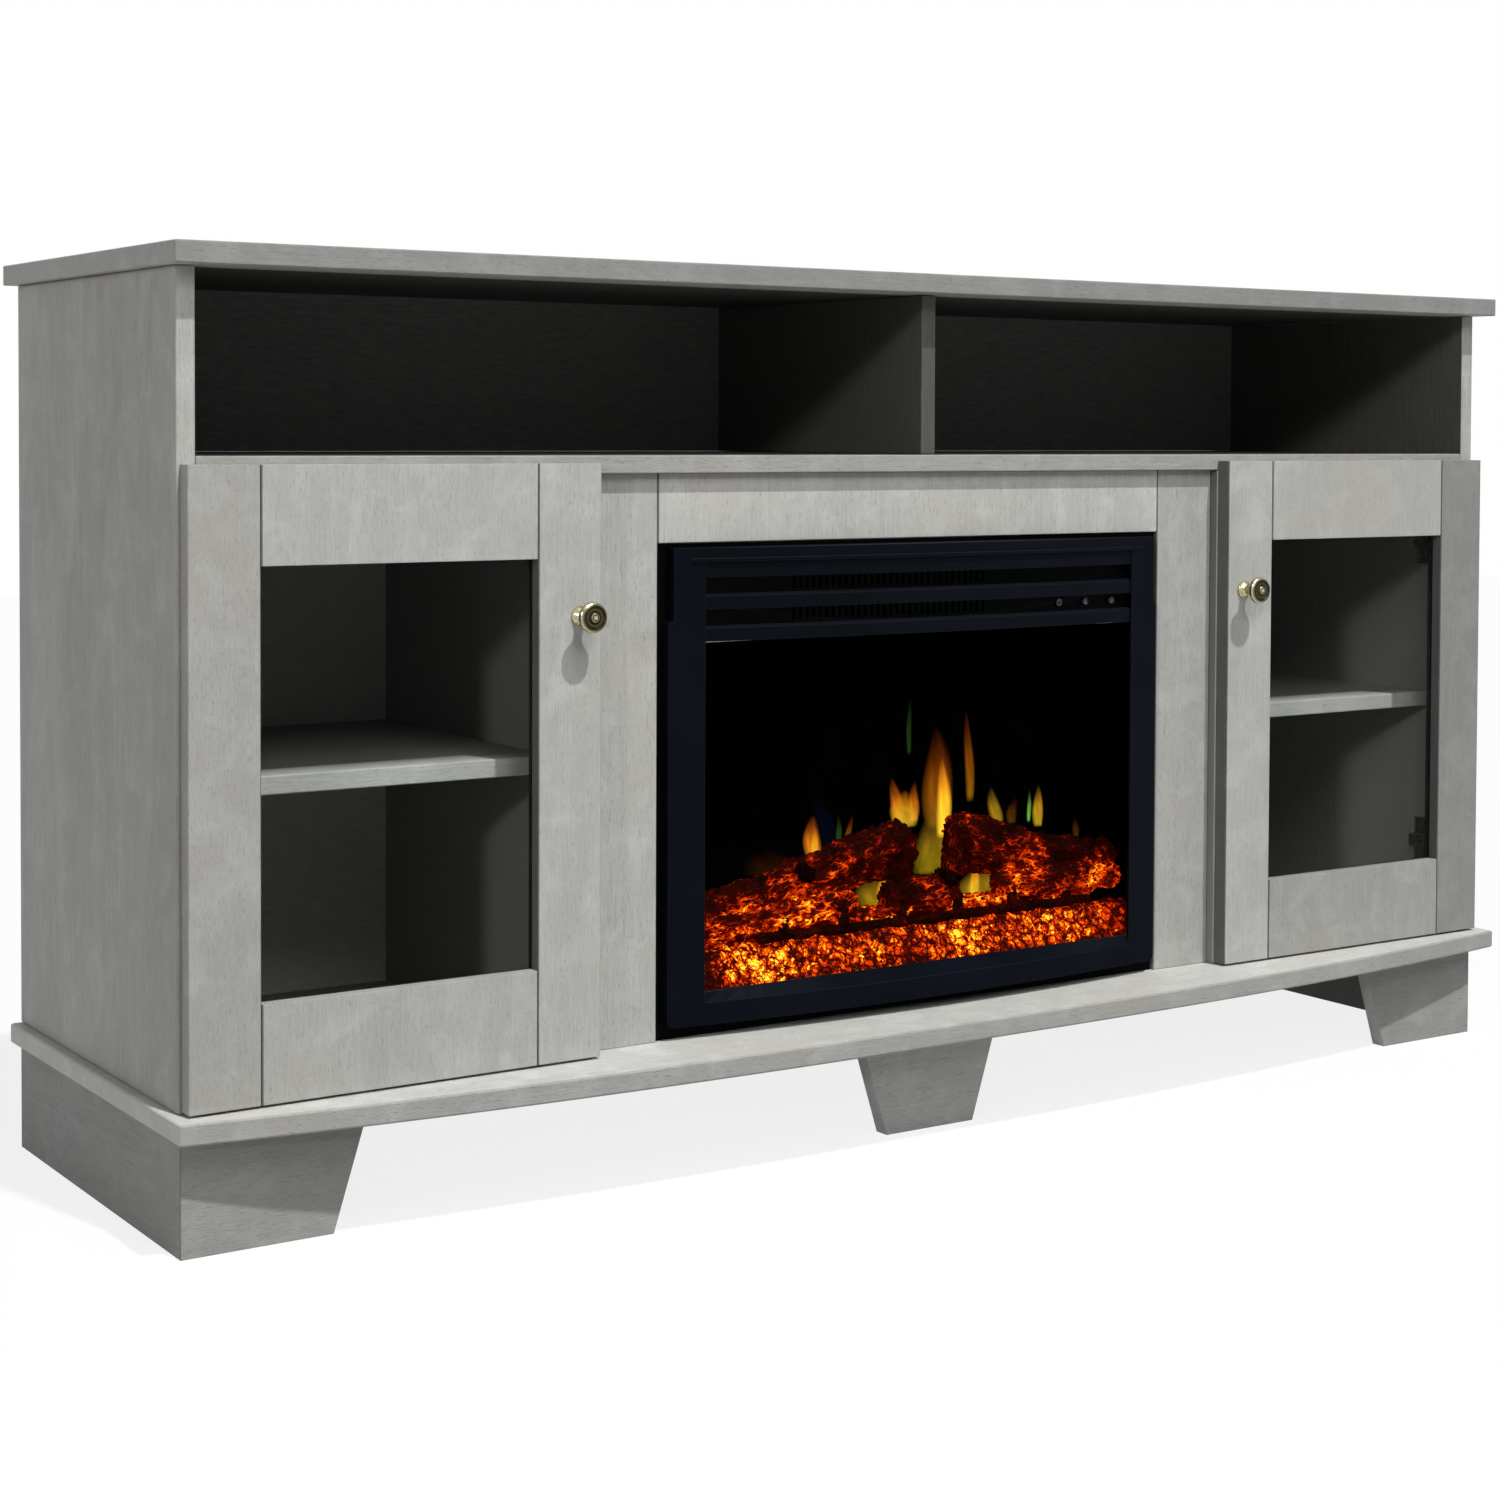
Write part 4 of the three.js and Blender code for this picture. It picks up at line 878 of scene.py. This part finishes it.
# Logs: both ends, then thickness, swell, where the swell starts in its wave, and glow.
# An end is given as shares of the bed's half width, of its depth and of the rise of the pile.
LOGS = [
    ((-0.93, 0.59, 0.18), (0.08, 0.6, 0.87), 0.8, 0.14, 0.34, 0.95),
    ((0.9, 0.6, 0.42), (0.27, 0.62, 0.9), 0.76, 0.14, 0.34, 0.9),
    ((-0.97, 0.42, 0.12), (-0.17, 0.46, 0.26), 0.6, 0.1, 0.39, 1.25),
    ((-0.03, 0.5, 0.24), (0.26, 0.5, 0.26), 0.8, 0.08, 0.55, 0.75),
    ((0.97, 0.42, 0.24), (0.43, 0.46, 0.26), 0.7, 0.12, 0.7, 1.15),
    ((-0.9, 0.72, 0.0), (0.9, 0.72, 0.0), 0.6, 0.05, 0.98, 0.8),
    ((-0.38, 0.6, 0.62), (-0.38, 0.27, 0.62), 0.4, 0.1, 0.5, 0.05),
    ((0.21, 0.6, 0.4), (0.21, 0.25, 0.4), 0.38, 0.1, 0.5, 0.05),
]

# Broken pieces between and behind the logs: both ends, thickness and glow. Two gaps show the screen.
BRANCHES = [
    ((-0.7, 0.52, 0.22), (-0.13, 0.52, 0.5), 0.46, 1.05),
    ((-0.5, 0.64, 0.3), (-0.02, 0.64, 0.6), 0.6, 0.95),
    ((0.05, 0.58, 0.9), (0.06, 0.58, 0.5), 0.62, 0.4),
    ((-0.2, 0.56, 0.5), (0.08, 0.56, 0.5), 0.34, 0.7),
    ((0.28, 0.55, 0.95), (0.26, 0.55, 0.42), 0.5, 0.5),
    ((0.33, 0.58, 0.62), (0.98, 0.58, 0.2), 0.6, 1.0),
    ((0.33, 0.64, 0.74), (0.95, 0.64, 0.37), 0.6, 0.95),
    ((0.24, 0.58, 0.5), (0.55, 0.58, 0.44), 0.4, 0.8),
    ((0.9, 0.66, 0.3), (1.0, 0.62, 0.5), 0.8, 0.8),
    ((-0.2, 0.5, 0.1), (0.06, 0.5, 0.1), 0.34, 1.3),
    ((0.26, 0.5, 0.13), (0.54, 0.5, 0.1), 0.34, 1.3),
    ((0.01, 0.47, 0.0), (0.0, 0.5, 0.46), 0.26, 0.12),
]
BRANCH_SWELL = 0.1
BRANCH_TURN = 0.37

# Bark: sides and ring step of its mesh, ridges and cracks per metre along the log and round its girth, what
# share of the radius a ridge takes, how steep and deep a crack is, and how the ends draw in
BARK_SIDES = 64
BARK_STEP = 2.2 * MM
BARK_RINGS_LEAST = 20
RIDGES_ALONG = 34
RIDGES_AROUND = 2.2
CRACKS_ALONG = 80
CRACKS_AROUND = 3.4
BARK_SHIFT = 3.7
BARK_FLOOR = 0.9
RIDGE_SHARE = 0.24
CRACK_STEEPNESS = 3.0
CRACK_DEPTH = 3.2 * MM
END_RADIUS = 0.7
END_LENGTH = 0.04
# Room that the logs keep from the front of the bed and from the flames
FRONT_ROOM = 1 * MM
FLAME_ROOM = 8 * MM


def log_spot(across, deep, high):
    return Vector((across * BED_HALF, bed_low.y + deep * BED_DEPTH, BAR_HEIGHT + high * LOG_RISE))


def bark_reach(index, length, thick, swell, turn):
    """Bark of a log: uneven ridges and deep cracks, and ends that draw in a little."""

    def around(along, girth, angle, shift):
        return Vector((along, girth * math.cos(angle) + shift, girth * math.sin(angle)))

    def reach(share, angle):
        wave = math.sin(2 * math.pi * (LOG_WAVES * share + turn))
        radius = thick * LOG_RADIUS * (1 + swell * (wave - share))
        along = share * length
        ridge_spot = around(along * RIDGES_ALONG, RIDGES_AROUND, angle, index * BARK_SHIFT)
        ridge = noise.fractal(ridge_spot, 0.8, 2.0, 4)
        near = noise.voronoi(around(along * CRACKS_ALONG, CRACKS_AROUND, angle, index))[0]
        crack = 1 - min(1.0, (near[1] - near[0]) * CRACK_STEEPNESS)
        end_in = min(1.0, END_RADIUS + min(share, 1 - share) / END_LENGTH)
        return radius * (BARK_FLOOR + RIDGE_SHARE * ridge) * end_in - crack * CRACK_DEPTH

    return reach


def add_log(name, index, ends, thick, swell, turn, glow):
    start, end = (log_spot(*shares) for shares in ends)
    length = (end - start).length
    bm = bmesh.new()
    rings = max(BARK_RINGS_LEAST, int(length / BARK_STEP))
    tube(bm, start, end, BARK_SIDES, rings, bark_reach(index, length, thick, swell, turn))
    for vert in bm.verts:
        vert.co.x = max(-BED_HALF, min(BED_HALF, vert.co.x))
        vert.co.y = max(bed_low.y + FRONT_ROOM, min(screen_low.y - FLAME_ROOM, vert.co.y))
        vert.co.z = min(logs_high.z, vert.co.z)
    lean = math.atan2((end - start).z, (end - start).x)
    return add_piece(name, bm, bark_glow(f"bark_{name}", lean, glow))


def add_logs():
    for k, (start, end, thick, swell, turn, glow) in enumerate(LOGS):
        add_log(f"log_{k + 1}", k, (start, end), thick, swell, turn, glow)
    for k, (start, end, thick, glow) in enumerate(BRANCHES):
        index = k + len(LOGS)
        turn = BRANCH_TURN * index
        add_log(f"branch_{k + 1}", index, (start, end), thick, BRANCH_SWELL, turn, glow)
    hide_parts("log_set")


# Colours of a flame from foot to tip, at these shares of its height
FLAME_STOPS = (0.0, 0.35, 0.7, 1.0)
FLAME_TINTS = {
    "amber": [(1.0, 0.42, 0.02, 1), (0.9, 0.25, 0.01, 1), (0.5, 0.1, 0.005, 1), (0.22, 0.04, 0.005, 1)],
    "olive": [(0.34, 0.25, 0.008, 1), (0.42, 0.25, 0.008, 1), (0.3, 0.15, 0.01, 1), (0.1, 0.06, 0.01, 1)],
    "green": [(0.1, 0.4, 0.05, 1), (0.12, 0.3, 0.04, 1), (0.08, 0.16, 0.03, 1), (0.02, 0.07, 0.02, 1)],
    "blue": [(0.01, 0.03, 0.05, 1), (0.01, 0.02, 0.07, 1), (0.008, 0.012, 0.05, 1), (0.002, 0.004, 0.02, 1)],
    "gold": [(1.0, 0.6, 0.03, 1), (1.0, 0.55, 0.025, 1), (1.0, 0.34, 0.012, 1), (0.8, 0.17, 0.01, 1)],
}


def flame_material(tint, strength, cover):
    """A flame on the screen: bright along its middle, faint at its edges and its tip."""
    g = Graph(f"flame_{tint}_{int(100 * strength)}_{int(100 * cover)}")
    coords = g.node("ShaderNodeUVMap", uv_map="flame").outputs[0]
    across, along = g.split(coords)[:2]
    lick = g.noise(g.stretch(coords, (2.4, 1.3, 1.0)), 1.4, 3.0, 0.6)
    colour = g.ramp(along, list(zip(FLAME_STOPS, FLAME_TINTS[tint])))
    edge = g.math("SUBTRACT", 1.0, g.math("ABSOLUTE", g.span(across, 0.0, 1.0, -1.0, 1.0)))
    body = g.times(g.span(edge, 0.0, 0.55), g.span(along, 1.0, 0.5))
    body = g.times(body, g.span(along, 0.0, 0.08), cover, g.span(lick, 0.25, 0.6, 0.45, 1.0))
    g.show(g.blend(body, g.clear(), g.emission(colour, strength)))
    return g.owner


# Flames on the screen: foot x and z, height, width, lean of the tip (mm), tint, strength and cover
FLAMES = [
    (-119, 236, 26, 64, 8, "amber", 0.04, 0.5),
    (-44, 252, 64, 26, -17, "blue", 0.25, 0.5),
    (-63, 244, 46, 22, -1, "amber", 1.0, 0.95),
    (-60, 246, 32, 10, -2, "gold", 1.0, 0.8),
    (-32, 254, 36, 8, -3, "green", 0.4, 0.5),
    (-25, 254, 34, 8, 9, "amber", 0.5, 0.5),
    (37, 270, 50, 18, -6, "amber", 0.95, 0.9),
    (55, 272, 42, 15, 4, "amber", 0.95, 0.9),
    (45, 268, 38, 34, 0, "gold", 0.85, 0.8),
    (50, 340, 62, 7, 1, "green", 0.22, 0.6),
    (89, 262, 106, 40, -9, "amber", 0.42, 0.8),
    (80, 218, 66, 52, -2, "olive", 0.75, 0.95),
    (92, 254, 82, 20, 0, "gold", 1.5, 1.0),
    (125, 288, 96, 13, -4, "amber", 0.4, 0.8),
    (160, 260, 42, 18, -8, "olive", 1.1, 0.9),
    (178, 262, 28, 15, 6, "amber", 0.2, 0.5),
    (213, 256, 44, 14, -1, "olive", 1.5, 0.9),
    (201, 262, 34, 6, 0, "green", 1.5, 0.95),
    (216, 256, 38, 6, 0, "gold", 0.6, 0.7),
    (262, 240, 24, 10, 0, "amber", 0.15, 0.5),
    (12, 184, 46, 58, 0, "olive", 0.9, 1.0),
    (17, 188, 42, 14, 0, "gold", 1.0, 1.0),
    (142, 182, 48, 66, 0, "olive", 0.9, 1.0),
    (130, 186, 44, 15, 0, "gold", 1.0, 1.0),
    (160, 190, 34, 10, 0, "gold", 0.7, 0.7),
]
FLAME_ROWS = 20
FLAME_COLUMNS = 6
# Gap between the screen and the first flame, and between one flame and the next, so that none share a plane
FLAME_GAP = 0.6 * MM
FLAME_STEP = 0.25 * MM
# Outline of a flame: where on half a sine wave its foot starts and how full the wave is, how late it leans,
# and how far it sways as a share of its width
FLAME_FOOT = 0.22
FLAME_FULLNESS = 0.75
FLAME_CURL = 1.5
FLAME_SWAY = 0.08
FLAME_SWAY_RADIANS = 5


def flame_sheet(index, x, z, tall, wide, lean):
    """One flame as a flat sheet, widest below its middle, which leans and sways towards its tip."""
    bm = bmesh.new()
    layer = bm.loops.layers.uv.new("flame")
    depth = screen_low.y - FLAME_GAP - FLAME_STEP * index
    grid = []
    for j in range(FLAME_ROWS + 1):
        share = j / FLAME_ROWS
        swell = math.sin(math.pi * (FLAME_FOOT + (1 - FLAME_FOOT) * share))
        half = wide * MM / 2 * swell ** FLAME_FULLNESS
        sway = FLAME_SWAY * wide * math.sin(FLAME_SWAY_RADIANS * share + index)
        centre = x + lean * share ** FLAME_CURL + sway
        row = []
        for i in range(FLAME_COLUMNS + 1):
            side = 2 * i / FLAME_COLUMNS - 1
            row.append(bm.verts.new((centre * MM + side * half, depth, (z + share * tall) * MM)))
        grid.append(row)
    for j in range(FLAME_ROWS):
        for i in range(FLAME_COLUMNS):
            corners = ((i, j), (i + 1, j), (i + 1, j + 1), (i, j + 1))
            face = bm.faces.new([grid[b][a] for a, b in corners])
            for loop, (a, b) in zip(face.loops, corners):
                loop[layer].uv = (a / FLAME_COLUMNS, b / FLAME_ROWS)
    return bm


def add_flames():
    materials = {}
    for index, (*form, tint, strength, cover) in enumerate(FLAMES):
        key = (tint, strength, cover)
        if key not in materials:
            materials[key] = flame_material(*key)
        add_piece(f"flame_{index + 1}", flame_sheet(index, *form), materials[key])


WARM = (1.0, 1.0, 0.985)
WHITE = (1.0, 1.0, 1.0, 1.0)
FLOOR_HALF = 8


def lamp(name, kind, place, aim, energy, size, colour=(1, 1, 1)):
    """size is the angle of a sun in radians, or the side of an area lamp in metres."""
    data = bpy.data.lights.new(name, kind)
    data.energy = energy
    data.color = colour
    if kind == "SUN":
        data.angle = size
    else:
        data.size = size
    light = bpy.data.objects.new(name, data)
    light.location = place
    light.rotation_euler = Vector(aim).to_track_quat("-Z", "Y").to_euler()
    bpy.context.scene.collection.objects.link(light)


def add_lights():
    lamp("key", "SUN", (0, 0, 3), (-0.1, 0.48, -0.87), 2.88, 0.03, WARM)
    lamp("soft_box", "AREA", (-0.45, -1.9, 1.9), (0.15, 0.8, -0.6), 16, 0.9, WARM)
    lamp("left_fill", "SUN", (-3, -3, 2), (0.8, 0.5, -0.28), 0.56, 0.09)


def add_world():
    """White where it is seen, and a weak cool light for everything else."""
    g = Graph("studio", "worlds", "ShaderNodeOutputWorld")
    soft = g.node("ShaderNodeBackground", {"Color": (0.93, 0.96, 1.0, 1.0), "Strength": 0.14})
    white = g.node("ShaderNodeBackground", {"Color": WHITE, "Strength": 1.0})
    g.show(g.blend(g.seen(), soft.outputs[0], white.outputs[0]))
    bpy.context.scene.world = g.owner


def add_floor():
    """A white floor that still shows a faint shadow, and throws back less light than it seems to."""
    g = Graph("floor")
    seen = g.seen()
    tint = g.mix(seen, (0.42, 0.42, 0.42, 1.0), (0.86, 0.86, 0.86, 1.0))
    matt = g.node("ShaderNodeBsdfDiffuse", {"Color": tint}).outputs[0]
    g.show(g.blend(g.times(seen, 0.84), matt, g.emission(WHITE, 1.0)))
    bm = bmesh.new()
    bmesh.ops.create_grid(bm, x_segments=1, y_segments=1, size=FLOOR_HALF)
    new_object("floor", bm, g.owner)


bpy.context.scene.view_settings.view_transform = "Standard"

add_camera()
add_lights()
add_world()
add_floor()
dress_cabinet()
dress_fittings()
dress_insert()
add_heater()
add_coals()
add_grate()
add_logs()
add_flames()
